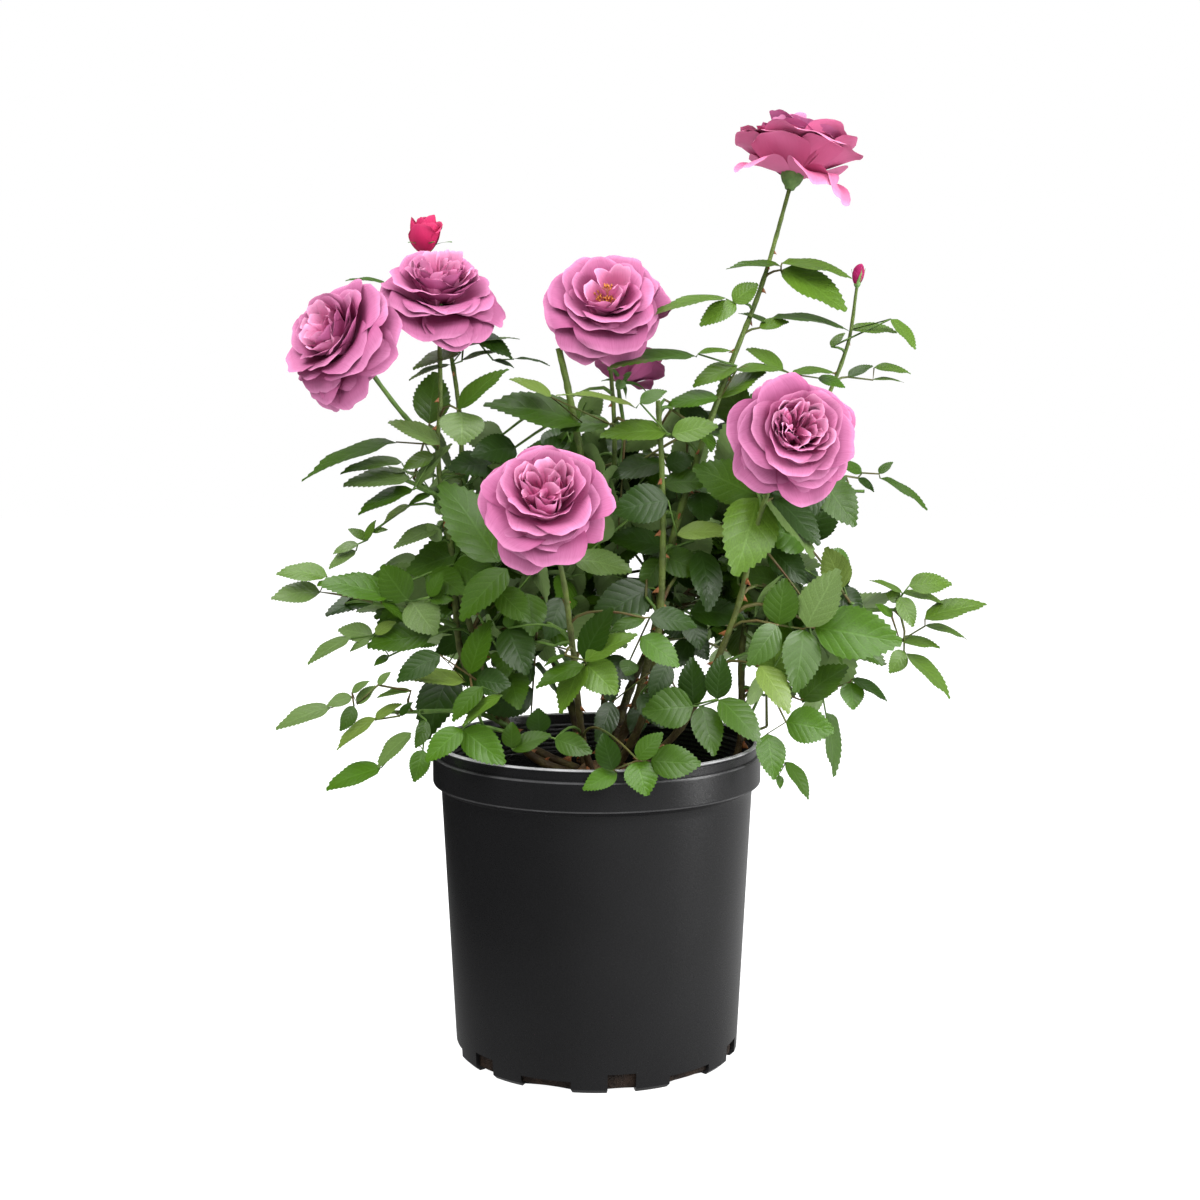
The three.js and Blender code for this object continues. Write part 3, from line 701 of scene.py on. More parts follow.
def leaflet_shape(master):
    """The leaflet's flat outline with its teeth: along from 0 to 1, across from -1 to 1."""
    along, across = master.flat[:, 0].copy(), master.flat[:, 1].copy()
    position = along * LEAFLET_SEGMENTS
    tooth = (np.abs(position - np.round(position)) > 0.25) & (np.abs(across) > 0.99)
    along[tooth] += TOOTH_LEAN / LEAFLET_SEGMENTS
    width = leaf_outline(master.flat[:, 0])
    width[tooth] += TOOTH_DEPTH
    width[master.flat[:, 0] < 1e-6] = LEAFLET_NECK
    return along, across * width


# ---- patterns shared by materials -------------------------------------------
class Nodes:
    """Short ways to add and join nodes in one tree."""

    def __init__(self, tree):
        self.tree = tree

    def add(self, kind, inputs=None, **settings):
        node = self.tree.nodes.new(kind)
        for name, value in settings.items():
            setattr(node, name, value)
        for key, value in (inputs or {}).items():
            self.feed(node, key, value)
        return node

    def feed(self, node, key, value):
        """Gives a node's input another node's output, or a constant."""
        if isinstance(value, bpy.types.NodeSocket):
            self.tree.links.new(value, node.inputs[key])
        else:
            node.inputs[key].default_value = value

    def maths(self, operation, *values):
        return self.add("ShaderNodeMath", dict(enumerate(values)), operation=operation).outputs[0]

    def mix(self, share, first, second):
        node = self.add("ShaderNodeMix", data_type="RGBA", inputs={"Factor": share})
        for key, value in ((6, first), (7, second)):
            self.feed(node, key, (*value, 1) if isinstance(value, tuple) else value)
        return node.outputs[2]

    def remap(self, value, low, high, to_low, to_high):
        inputs = {0: value, 1: low, 2: high, 3: to_low, 4: to_high}
        return self.add("ShaderNodeMapRange", inputs).outputs[0]


def new_group(name, inputs, outputs):
    tree = bpy.data.node_groups.new(name, "ShaderNodeTree")
    for socket, kind, default in inputs:
        made = tree.interface.new_socket(socket, in_out="INPUT", socket_type=kind)
        if default is not None:
            made.default_value = default
    for socket, kind in outputs:
        tree.interface.new_socket(socket, in_out="OUTPUT", socket_type=kind)
    nodes = Nodes(tree)
    return nodes, nodes.add("NodeGroupInput"), nodes.add("NodeGroupOutput")


def vein_group():
    """A midrib and side veins that lean towards the tip, from a leaflet's own map."""
    nodes, start, end = new_group(
        "leaf_veins",
        [("Vector", "NodeSocketVector", None), ("Side Veins", "NodeSocketFloat", 7.0)],
        [("Vein", "NodeSocketFloat"), ("Height", "NodeSocketFloat"), ("Shade", "NodeSocketFloat")],
    )
    split = nodes.add("ShaderNodeSeparateXYZ", {0: start.outputs["Vector"]})
    off_midrib = nodes.maths("ABSOLUTE", nodes.maths("SUBTRACT", split.outputs[1], 0.5))
    away = nodes.maths("MULTIPLY", off_midrib, 2.0)
    lean = nodes.maths("MULTIPLY", away, VEIN_LEAN)
    leaning = nodes.maths("SUBTRACT", split.outputs[0], lean)
    order = nodes.maths("MULTIPLY", leaning, start.outputs["Side Veins"])
    off = nodes.maths("PINGPONG", order, 0.5)
    side_vein = nodes.remap(off, 0.02, 0.11, 1.0, 0.0)
    midrib = nodes.remap(away, 0.02, 0.07, 1.0, 0.0)
    vein = nodes.maths("MAXIMUM", nodes.maths("MULTIPLY", side_vein, SIDE_VEIN), midrib)
    quilt = nodes.maths("SINE", nodes.maths("MULTIPLY", off, math.pi))
    fine = nodes.add("ShaderNodeTexNoise", {"Vector": start.outputs["Vector"], "Scale": 34.0, "Detail": 3.0})
    bumps = nodes.maths("MULTIPLY_ADD", fine.outputs[0], 0.35, quilt)
    nodes.feed(end, "Vein", vein)
    nodes.feed(end, "Height", nodes.maths("SUBTRACT", bumps, vein))
    nodes.feed(end, "Shade", nodes.remap(fine.outputs[0], 0.3, 0.7, 0.0, 1.0))


def mottle_group():
    """Soft patches and fine grain on the part's own coordinates."""
    nodes, start, end = new_group(
        "mottle",
        [("Vector", "NodeSocketVector", None), ("Patch Scale", "NodeSocketFloat", 60.0),
         ("Grain Scale", "NodeSocketFloat", 900.0)],
        [("Patches", "NodeSocketFloat"), ("Grain", "NodeSocketFloat")],
    )
    for output, scale, detail in (("Patches", "Patch Scale", 4.0), ("Grain", "Grain Scale", 2.0)):
        noise = nodes.add("ShaderNodeTexNoise", {
            "Vector": start.outputs["Vector"], "Scale": start.outputs[scale], "Detail": detail,
        })
        nodes.feed(end, output, nodes.remap(noise.outputs[0], 0.32, 0.68, 0.0, 1.0))


def new_material(name, **constants):
    """A new material's nodes and its Principled shader, with its constants set on its own sockets."""
    material = bpy.data.materials.new(name)
    material.use_nodes = True
    nodes = Nodes(material.node_tree)
    shader = nodes.tree.nodes["Principled BSDF"]
    for socket, value in constants.items():
        nodes.feed(shader, socket.replace("_", " "), value)
    return nodes, shader


def grouped(nodes, name, **inputs):
    node = nodes.add("ShaderNodeGroup", node_tree=bpy.data.node_groups[name])
    for key, value in inputs.items():
        nodes.feed(node, key.replace("_", " "), value)
    return node


def raised(nodes, shader, height, strength, distance):
    """Lets a pattern stand up from the surface by a bump."""
    bump = nodes.add("ShaderNodeBump", {"Height": height, "Strength": strength, "Distance": distance})
    nodes.feed(shader, "Normal", bump.outputs[0])


def scaled(colour, factor, more=0.0):
    return tuple(min(1, c * factor + more) for c in colour)


def leaf_material(tone, colour):
    nodes, shader = new_material(f"leaf_{tone}", Roughness=0.38, Specular_IOR_Level=0.38)
    own_map = nodes.add("ShaderNodeUVMap", uv_map="Leaf")
    veins = grouped(nodes, "leaf_veins", Vector=own_map.outputs[0])
    ground = nodes.mix(veins.outputs["Shade"], scaled(colour, 0.74), scaled(colour, 1.12))
    pale = nodes.maths("MULTIPLY", veins.outputs["Vein"], VEIN_PALE)
    top = nodes.mix(pale, ground, scaled(colour, 1.7, 0.02))
    under = nodes.mix(UNDERSIDE_SHARE, top, UNDERSIDE)
    back = nodes.add("ShaderNodeNewGeometry").outputs["Backfacing"]
    nodes.feed(shader, "Base Color", nodes.mix(back, top, under))
    raised(nodes, shader, veins.outputs["Height"], 0.12, 0.0010)


def petal_material(name, foot, middle, rim, back):
    """Petals that go from their foot's colour to a lighter rim, with fine streaks along them."""
    nodes, shader = new_material(name, Roughness=0.7, Specular_IOR_Level=0.15)
    own_map = nodes.add("ShaderNodeUVMap", uv_map="Petal")
    along = nodes.add("ShaderNodeSeparateXYZ", {0: own_map.outputs[0]}).outputs[0]
    stretch = nodes.add("ShaderNodeMapping", {"Vector": own_map.outputs[0], "Scale": (2.2, 26.0, 1.0)})
    streaks = nodes.add("ShaderNodeTexNoise", {"Vector": stretch.outputs[0], "Scale": 1.6, "Detail": 3.0})
    low = nodes.mix(nodes.remap(along, 0.05, 0.42, 0.0, 1.0), foot, middle)
    full = nodes.mix(nodes.remap(along, 0.6, 1.0, 0.0, 1.0), low, rim)
    streak = nodes.remap(streaks.outputs[0], 0.35, 0.65, 0.0, 0.3)
    streaked = nodes.mix(streak, full, scaled(middle, 0.72))
    thin_edge = nodes.remap(along, 0.92, 1.0, 0.0, PETAL_EDGE)
    edged = nodes.mix(thin_edge, streaked, scaled(rim, 1.3, 0.05))
    behind = nodes.add("ShaderNodeNewGeometry").outputs["Backfacing"]
    colour = nodes.mix(nodes.maths("MULTIPLY", behind, 0.6), edged, back)
    nodes.feed(shader, "Base Color", colour)
    raised(nodes, shader, streaks.outputs[0], 0.25, 0.0006)


def mottled_material(name, first, second, rough, patch_scale, grain, grain_height, gloss=0.35):
    """Two colours in soft patches with a fine grain that also stands up a little."""
    nodes, shader = new_material(name, Specular_IOR_Level=gloss)
    place = nodes.add("ShaderNodeTexCoord").outputs["Object"]
    mottle = grouped(nodes, "mottle", Vector=place, Patch_Scale=patch_scale, Grain_Scale=grain)
    colour = nodes.mix(mottle.outputs["Patches"], linear(*first), linear(*second))
    nodes.feed(shader, "Base Color", colour)
    nodes.feed(shader, "Roughness", nodes.remap(mottle.outputs["Grain"], 0.0, 1.0, *rough))
    raised(nodes, shader, mottle.outputs["Grain"], 0.5, grain_height)
    return nodes, shader


def pot_material():
    """Black plastic with a fine grain, and a painted highlight: light grey lines along its rim and the two
    edges of its band, where these edges catch the light.
    """
    nodes, shader = mottled_material("black_plastic", *PLASTIC, PLASTIC_GLOSS)
    bare_plastic = shader.inputs["Base Color"].links[0].from_socket
    place = nodes.add("ShaderNodeTexCoord").outputs["Object"]
    mottle = grouped(nodes, "mottle", Vector=place, Patch_Scale=HIGHLIGHT_PATCH_SCALE, Grain_Scale=1400.0)
    height = nodes.add("ShaderNodeSeparateXYZ", {0: place}).outputs[2]
    # painted highlight: light grey lines at the rim and at the band's two edges, broken up in patches
    edge_highlight = 0.0
    for edge, reach, share in POT_EDGE_HIGHLIGHTS:
        away = nodes.maths("ABSOLUTE", nodes.maths("SUBTRACT", height, edge * MM))
        edge_highlight = nodes.maths("MAXIMUM", edge_highlight, nodes.remap(away, reach * MM / 2, reach * MM, share, 0.0))
    broken_highlight = nodes.maths("MULTIPLY", edge_highlight, nodes.remap(mottle.outputs["Patches"], 0.0, 1.0, HIGHLIGHT_LEAST, 1.0))
    nodes.feed(shader, "Base Color", nodes.mix(broken_highlight, bare_plastic, EDGE_HIGHLIGHT_GREY))


def cane_material():
    """Green young wood that turns brown towards the foot, in soft patches."""
    nodes, shader = new_material("cane_wood", Roughness=0.6, Specular_IOR_Level=0.35)
    place = nodes.add("ShaderNodeTexCoord").outputs["Object"]
    mottle = grouped(nodes, "mottle", Vector=place, Patch_Scale=95.0, Grain_Scale=700.0)
    patches = mottle.outputs["Patches"]
    height = nodes.add("ShaderNodeSeparateXYZ", {0: place}).outputs[2]
    old, young = nodes.mix(patches, *OLD_WOOD), nodes.mix(patches, *YOUNG_WOOD)
    blotch = nodes.maths("MULTIPLY", nodes.maths("SUBTRACT", patches, 0.5), 0.3)
    age = nodes.maths("ADD", nodes.remap(height, *WOOD_AGES, 0.0, 1.0), blotch)
    wood = nodes.mix(nodes.maths("MINIMUM", nodes.maths("MAXIMUM", age, 0.0), 1.0), old, young)
    nodes.feed(shader, "Base Color", wood)
    raised(nodes, shader, mottle.outputs["Grain"], 0.5, 0.0006)


def material(name):
    """A material by its name."""
    return bpy.data.materials[name]


def make_materials():
    vein_group()
    mottle_group()
    for tone, colour in TONES.items():
        leaf_material(tone, colour)
    for name, colours in PETAL_COLOURS.items():
        petal_material(f"petal_{name}", *(linear(*colour) for colour in colours))
    cane_material()
    pot_material()
    for name, look in MOTTLED.items():
        mottled_material(name, *look)
    new_material("stamen", Base_Color=(*linear(200, 140, 62), 1), Roughness=0.6)


# ---- pot and potting mix ----------------------------------------------------
def wall_radius(height):
    return POT["base"] + (POT["wall_top"] - POT["base"]) * height / POT["band_bottom"]


def steps_from(radius, height, steps):
    """Points of an outline, each some way out and up from a radius and a height."""
    return [(radius + out, height + up) for out, up in steps]


def turned(outline, sides):
    """A closed round piece: a disc at the first radius and height, drawn on ring by ring through the rest."""
    deselect()
    radius, height = outline[0]
    bpy.ops.mesh.primitive_circle_add(
        vertices=sides, radius=radius * MM, fill_type="NGON", location=(0, 0, height * MM)
    )
    bpy.ops.object.transform_apply(location=True, rotation=False, scale=False)
    edit_all()
    for next_radius, next_height in outline[1:]:
        rise = (next_height - height) * MM
        bpy.ops.mesh.extrude_region_move(TRANSFORM_OT_translate={"value": (0, 0, rise)})
        share = next_radius / radius
        bpy.ops.transform.resize(value=(share, share, 1), center_override=(0, 0, next_height * MM))
        radius, height = next_radius, next_height
    return closed_piece()


def drain_cutters():
    """Blocks for the slots and low arches round the foot of the pot, joined in one piece."""
    deselect()
    blocks = []
    pitch = 2 * math.pi / DRAIN["count"]
    for i in range(DRAIN["count"]):
        for half_turn, (width, height) in ((0.0, DRAIN["slot"]), (0.5, DRAIN["arch"])):
            turn = math.radians(DRAIN["turn"]) + (i + half_turn) * pitch
            out = (DRAIN["inner"] + DRAIN["depth"] / 2) * MM
            bpy.ops.mesh.primitive_cube_add(
                size=1, location=(math.sin(turn) * out, -math.cos(turn) * out, 0), rotation=(0, 0, turn),
                scale=(width * MM, DRAIN["depth"] * MM, 2 * height * MM),
            )
            blocks.append(bpy.context.object)
    for block in blocks:
        block.select_set(True)
    bpy.ops.object.join()
    bpy.ops.object.transform_apply()
    return bpy.context.object


def pot_ribs(count, foot_radius):
    """The fine ribs inside the rim, where the wall goes from its inner radius under the band to the lip's."""
    ribs = []
    for i in range(count):
        height = POT["height"] - FIRST_RIB - i * RIB_PITCH
        slack = (height - POT["band_bottom"]) / (POT["height"] - POT["band_bottom"])
        radius = foot_radius + (POT["lip"] - POT["wall"] - foot_radius) * max(0.0, slack)
        ribs += steps_from(radius, height, RIB)
    return ribs


def build_pot(settings):
    """The pot's wall, from the middle of its underside up the outside and down the inside."""
    inside = [(wall_radius(z) - POT["wall"], z) for z in (POT["band_bottom"], 150, POT["floor"])]
    low, high, rim = POT["band_bottom"], POT["band_top"], POT["height"]
    shell = turned([
        *steps_from(POT["base"], 0, UNDERSIDE_EDGE), (POT["base"] - POT["foot"], 0),
        *((wall_radius(z), z) for z in (POT["foot"], POT["foot"] + 1, *WALL_HEIGHTS)),
        (wall_radius(UNDER_BAND) + 0.3, UNDER_BAND),
        *steps_from(POT["band"], low, BAND_FOOT), *steps_from(POT["band"], high, BAND_HEAD),
        *steps_from(POT["lip"], high, LIP_FOOT), *steps_from(POT["lip"], rim, LIP_HEAD),
        *steps_from(POT["lip"] - POT["wall"], rim, LIP_INSIDE),
        *pot_ribs(settings.inner_rings, inside[0][0]), *inside,
    ], POT_SIDES)
    cutters = drain_cutters()
    apply_modifier(shell, "BOOLEAN", object=cutters, operation="DIFFERENCE", solver="EXACT")
    bpy.data.objects.remove(cutters)
    choose(shell)
    bpy.ops.object.shade_smooth_by_angle(angle=SHARP_TURN)
    finish_piece(shell, "pot_shell", [material("black_plastic")], ["pot"])


def build_mix(settings):
    """The bed of potting mix, domed a little, and the bark chips that lie on it."""
    rim = wall_radius(MIX_TOP) - POT["wall"] - MIX_GAP
    foot = POT["floor"] + MIX_GAP
    dome = [(rim * share, MIX_TOP + rise) for share, rise in MIX_DOME]
    bed = turned([(wall_radius(foot) - POT["wall"] - MIX_GAP, foot), *dome], POT_SIDES // 2)
    choose(bed)
    bpy.ops.object.shade_smooth_by_angle(angle=math.radians(40))
    finish_piece(bed, "mix_bed", [material("mix_bed")], ["potting_mix"])

    deselect()
    bpy.ops.mesh.primitive_cube_add(size=1)
    bpy.ops.object.mode_set(mode="EDIT")
    bpy.ops.mesh.bevel(offset=0.22, segments=1)
    bpy.ops.object.mode_set(mode="OBJECT")
    points, faces = taken_apart(bpy.context.object)
    rng = random.Random(settings.seed)
    chips = Sheaf()
    for _ in range(settings.chips):
        out, turn = (rim - CHIP_EDGE) * math.sqrt(rng.random()), rng.uniform(0, 2 * math.pi)
        size = np.array([rng.uniform(*sizes) for sizes in CHIP_SIZES]) * MM
        uneven = points * (1 + 0.25 * np.sin(points[:, [1, 2, 0]] * 5 + rng.uniform(0, 6)))
        spin = basis_from(unit(np.array([rng.gauss(0, 1), rng.gauss(0, 1), rng.gauss(0, 0.25)])),
                          unit(np.array([rng.gauss(0, 0.3), rng.gauss(0, 0.3), 1])))
        height = MIX_TOP + CHIP_RISE + rng.uniform(0, CHIP_HEAP)
        place = np.array([out * math.cos(turn), out * math.sin(turn), height]) * MM
        chips.add(place + (uneven * size) @ spin, faces)
    chips.build("mix_chips", [material("mix_chip")], "potting_mix")


def basis_from(along, above):
    """Three unit rows: along, across and the direction nearest to `above`."""
    across = unit(np.cross(above, along))
    return np.array([along, across, np.cross(along, across)])


# ---- canes, boughs and thorns -----------------------------------------------
def limb_piece(path, radii, sides_level, swell):
    """A tapering limb with thicker joints along it, drawn as a bevelled curve and given its bark."""
    line = bpy.data.curves.new("limb", "CURVE")
    line.dimensions = "3D"
    line.bevel_depth = 1.0
    line.bevel_resolution = sides_level
    line.use_fill_caps = True
    spline = line.splines.new("POLY")
    spline.points.add(len(path) - 1)
    length = LIMB_STEP * (len(path) - 1)
    for i, (point, place) in enumerate(zip(spline.points, path)):
        share = i / (len(path) - 1)
        off = (share * length + NODE_SPACING / 2) % NODE_SPACING - NODE_SPACING / 2
        joint = 1 + swell * math.exp(-((off / NODE_LENGTH) ** 2))
        point.co = (*place, 1)
        point.radius = (radii[0] + (radii[1] - radii[0]) * share) * MM * joint
    limb = bpy.data.objects.new("limb", line)
    bpy.context.scene.collection.objects.link(limb)
    choose(limb)
    bpy.ops.object.convert(target="MESH")
    limb = bpy.context.object
    roughen(limb, "bark", *BARK)
    return limb


def roughen(piece, name, grain, depth):
    """Gives a piece's surface the uneven relief of bark."""
    texture = bpy.data.textures.get(name) or bpy.data.textures.new(name, "CLOUDS")
    texture.noise_scale = grain
    apply_modifier(piece, "DISPLACE", texture=texture, strength=depth, mid_level=0.5)
    bpy.ops.object.shade_smooth()


def limb_paths():
    """Every cane and bough as an even path in metres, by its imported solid's name."""
    limbs = {f"cane_{name}": cane for name, cane in CANES.items()}
    limbs.update({f"bough_{name}": bough for name, bough in BOUGHS.items()})
    return {node: smooth_path(metres(limb["path"])) for node, limb in limbs.items()}


def build_limbs(settings):
    """The canes, the boughs and the rootstock's knot that the canes rise from."""
    paths = limb_paths()
    for name, cane in CANES.items():
        limb = limb_piece(paths[f"cane_{name}"], cane["radii"], 4, settings.joint_swell)
        finish_piece(limb, f"stem_{name}", [material("cane_wood")], [f"cane_{name}"])
    for name, bough in BOUGHS.items():
        limb = limb_piece(paths[f"bough_{name}"], bough["radii"], 3, settings.joint_swell)
        wood = "cane_wood" if name == "pruned" else "young_shoot"
        finish_piece(limb, f"side_{name}", [material(wood)], [f"bough_{name}"])
    stock = turned(steps_from(0, MIX_TOP, ROOTSTOCK), 28)
    apply_modifier(stock, "SUBSURF", levels=1, render_levels=1)
    roughen(stock, "burl", *BURL)
    finish_piece(stock, "rootstock_knot", [material("rootstock_bark")], ["rootstock"])


def thorn_shape():
    """One hooked thorn, 1 high: a long oval foot drawn up to a point that bends down the cane."""
    deselect()
    bpy.ops.mesh.primitive_circle_add(
        vertices=THORN_SIDES, radius=0.5, fill_type="NGON", location=(0, 0, -THORN_SINK)
    )
    bpy.ops.object.transform_apply()
    edit_all()
    bpy.ops.transform.resize(value=THORN_FOOT, center_override=(0, 0, 0))
    for rise, slide, share in THORN_STEPS:
        bpy.ops.mesh.extrude_region_move(TRANSFORM_OT_translate={"value": (slide, 0, rise)})
        bpy.ops.transform.resize(value=(share, share, 1))
    return taken_apart(closed_piece())


def build_thorns(settings):
    """Thorns at uneven steps along the canes, smaller towards their ends."""
    points, faces = thorn_shape()
    rng = random.Random(settings.seed)
    thorns = Sheaf()
    for cane in CANES.values():
        path = smooth_path(metres(cane["path"]))
        step = settings.thorn_spacing / LIMB_STEP
        at = step * rng.uniform(0.4, 1.0)
        while at < len(path) - 10:
            i = int(at)
            heading = unit(path[i + 1] - path[i - 1])
            turn = rng.uniform(0, 2 * math.pi)
            side = unit(np.cross(heading, (math.cos(turn), math.sin(turn), 0.2)))
            radius = (cane["radii"][0] + (cane["radii"][1] - cane["radii"][0]) * i / len(path)) * MM
            size = settings.thorn_length * rng.uniform(0.6, 1.1) * (1 - 0.35 * i / len(path))
            frame_rows = np.array([heading, np.cross(side, heading), side])
            thorns.add(path[i] + side * radius * 0.9 + (points * size) @ frame_rows, faces)
            at += step * rng.uniform(0.6, 1.5)
    thorns.build("thorns", [material("thorn")], "cane_bark")


# ---- leaves -----------------------------------------------------------------
TONE_SLOTS = list(TONES)
REGIONS = {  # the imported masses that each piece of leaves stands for
    "left": ["inner_left", "left_upper", "left_mid", "left_low", "left_top", "centre_left"],
    "middle": ["centre", "centre_upper", "centre_top"],
    "front": ["front", "front_low", "front_left"],
    "right": ["right", "right_upper", "right_low", "right_spray", "right_mid"],
    "top": ["right_bud", "top_right", "right_inner"],
    "back": ["back_left", "back_right", "back_centre"],
}
DENSITY = {  # where a mass is thinner or fuller than the rest
    "left_low": 0.25, "left_mid": 0.5, "left_upper": 0.6, "left_top": 0.4, "inner_left": 1.4,
    "centre_left": 1.6, "centre": 2.2, "centre_upper": 1.6, "front": 1.5, "front_low": 1.5,
    "right": 1.6, "right_upper": 1.5, "right_inner": 0.8, "right_low": 0.7, "right_spray": 0.5,
    "right_mid": 0.3, "right_bud": 0.3, "top_right": 0.5,
    "back_left": 1.35, "back_right": 1.3, "back_centre": 1.35,
}
STRAY = 1.15  # how far out of a mass a leaf's tip may reach: the square of a share of its half widths
PLACED_REGION = {  # the piece that a placed leaf belongs to, by the first part of its name
    "left": "left", "inner": "left", "centre": "middle", "front": "front", "rim": "front",
    "right": "right", "top": "top",
}
LEAFLET_STAGGER = 4  # how far the leaflets of a placed leaf differ in depth, in millimetres
MOST_SHOWN = 0.97  # the largest share of a blade's width that is taken to show
CLIMB_COST = 2.0  # how much dearer it is for a shoot to start above its end than beside it
SHOOT_BEND = {"heading": 0.26, "end": 0.2, "step": 0.008}
# Strips of the camera's frame where a cane shows in front: left, top, right, bottom and the cane's depth.
SHOWN_CANES = [
    (649, 432, 671, 612, -0.026), (558, 570, 586, 660, -0.075), (574, 690, 592, 745, -0.03),
    (430, 345, 446, 480, -0.004), (446, 355, 462, 560, 0.008), (836, 256, 880, 395, 0.05),
    (740, 575, 752, 655, 0.0), (728, 195, 790, 300, 0.012), (608, 368, 620, 420, 0.0),
]
FLOWER_ROOM = {"middle": 0.03, "shown": 74, "depth": 0.012, "reach": 0.045}  # that leaves grown by rule keep
PLACED_ROOM = {"share": 0.8, "shown": 12, "depth": 0.010}  # that they keep from the placed leaves
BOX_SLACK = 0.002  # how far a leaf may stand out of the part's box
RIM_ROOM = 3  # that leaves keep over and outside the pot's wall, in millimetres
RIM_INSIDE = 0.09  # how far from the middle, in metres, that room starts
LEAFLETS = [  # of a compound leaf: share of the way along it, side, share of the leaf's length
    (1.0, 0, 0.44), (0.78, 1, 0.37), (0.78, -1, 0.37), (0.5, 1, 0.3), (0.5, -1, 0.3),
]
LEAF_STALK = 0.62  # share of the leaf's length that its leaflets stand along
STALK_END = 0.67  # where the stalk itself ends
LEAF_DROOP = 0.16
LEAFLET_SPREAD = (0.95, 1.25)  # how far a side leaflet turns from the stalk, in radians
FEWEST_LEAFLETS = 3
MOST_HANG = 0.015  # how far under its foot a shoot may end
SPARSE_REACH = 0.042  # the longest shoot of a mass that is thinner than the rest
TRIES = 6  # shoots that may be tried for each leaf that is wanted
FOOT_WANDER = 0.012  # how far from a shoot's end the search for its foot may start
BARE_SHOOT = 0.35  # share of a shoot, from its foot, that carries no leaves
SAME_TONE = 0.7  # share of a shoot's leaves that have its own tone


class Bush:
    """What the leaves are drawn with and into: the leaflet's grid, a sheaf for each region and the stalks."""

    def __init__(self, settings):
        self.settings = settings
        self.rng = random.Random(settings.seed)
        self.master = grid_master(LEAFLET_SEGMENTS, 4, toothed=True)
        self.along, self.across = leaflet_shape(self.master)
        self.regions = {name: Sheaf("Leaf") for name in REGIONS}
        self.stalks = Sheaf()
        self.shoots = Sheaf()
        self.limbs = list(limb_paths().values())
        self.placed_seen = []
        self.box = [np.array(corner) for corner in CAD_BOX]
        self.masses = [mass_room(mass) for masses in REGIONS.values() for mass in masses]

    def leaflet(self, region, base, tip, side, width, tone, arch=0.06, fold=0.22):
        """One leaflet from its base to its tip. `side` points across it, and its upper face looks up."""
        length = np.linalg.norm(tip - base)
        axis = unit(tip - base)
        side = unit(side - axis * (side @ axis))
        above = np.cross(axis, side)
        if above[2] < 0:
            side, above = -side, -above
        out = np.abs(self.across)
        lift = (
            fold * width / 2 * (out - 0.55 * out**2)
            + arch * length * 4 * self.along * (1 - self.along)
            + 0.02 * width * np.sin(9 * self.along + 4 * self.across + base[0] * 900)
        )
        points = (
            base + np.outer(self.along * length, axis) + np.outer(self.across * width / 2, side)
            + np.outer(lift, above)
        )
        self.regions[region].add(points, self.master.faces, TONE_SLOTS.index(tone), self.master.surface)

    def nearest_limb(self, point):
        """The point of a limb that a leaf or shoot near `point` grows from, with the limb's heading there."""
        best = None
        for path in self.limbs:
            above = np.maximum(0, path[:, 2] - point[2] + LIMB_STEP)
            gap = np.linalg.norm(path - point, axis=1) + CLIMB_COST * above
            i = int(np.argmin(gap[:-2]))
            if best is None or gap[i] < best[0]:
                best = (gap[i], path[i], unit(path[i + 1] - path[i]))
        return best[1], best[2]


def mass_room(mass):
    """The middle and the half widths of a packed mass of foliage."""
    low, high = (np.array(corner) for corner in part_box(f"foliage_{mass}"))
    return (low + high) / 2, (high - low) / 2


def shoot_path(start, heading, end, rise=0.08):
    """A shoot's bent path from a limb to where it ends."""
    reach = np.linalg.norm(end - start)
    ahead = heading * reach * SHOOT_BEND["heading"]
    bend = start + ahead + (end - start) * SHOOT_BEND["end"] + UP * reach * rise
    t = np.linspace(0, 1, max(4, int(reach / SHOOT_BEND["step"])))[:, None]
    return (1 - t) ** 2 * start + 2 * t * (1 - t) * bend + t**2 * end


def tip_depth(base, tip):
    """A hanging tip comes nearer to the eye than its base, and a rising one goes a little back."""
    fall = base[2] - tip[2]
    return base[1] - NEAR_DROOP * fall if fall > 0 else base[1] - FAR_RISE * fall


def blade_side(axis, share):
    """The way across a blade of which this share shows, turned so that its upper face looks up most."""
    flat = share * unit(np.cross(axis, Lens.ahead))
    deep = math.sqrt(1 - share**2) * Lens.ahead
    near, far = flat + deep, flat - deep
    near_lift, far_lift = np.cross(axis, near)[2], np.cross(axis, far)[2]
    return far if near_lift * far_lift < 0 and abs(far_lift) > abs(near_lift) else near


def place_leaf(bush, name, depth, leaflets):
    """A leaf whose leaflets are each given by where they show."""
    region = PLACED_REGION[name.split("_")[0]]
    bases = []
    for i, (base_u, base_v, tip_u, tip_v, width, tone) in enumerate(leaflets):
        near = (depth + LEAFLET_STAGGER * math.sin(2.1 * i + len(name))) * MM
        base = Lens.place(base_u, base_v, near)
        tip = Lens.place(tip_u, tip_v, tip_depth(base, Lens.place(tip_u, tip_v, near)))
        length = np.linalg.norm(tip - base)
        whole = PLACED_WIDTH * length
        shown = width * (near + CAMERA["distance"]) / Lens.scale
        side = blade_side(unit(tip - base), min(MOST_SHOWN, shown / whole))
        bush.leaflet(region, base, tip, side, max(whole, shown), tone)
        reach = length * Lens.scale / CAMERA["distance"] / 2
        bush.placed_seen.append((*Lens.seen((base + tip) / 2), reach, near))
        bases.append(base)
    foot, heading = bush.nearest_limb(bases[-1])
    stalk = shoot_path(foot, heading, bases[-1], 0.05)
    path = np.concatenate([stalk, bases[-2::-1]]) if len(bases) > 1 else stalk
    bush.stalks.tube(path, (STALK["foot"], STALK["tip"]), slot=len(name) % 2)


def scattered(rng, spread):
    return spread * np.array([rng.gauss(0, 1) for _ in range(3)])


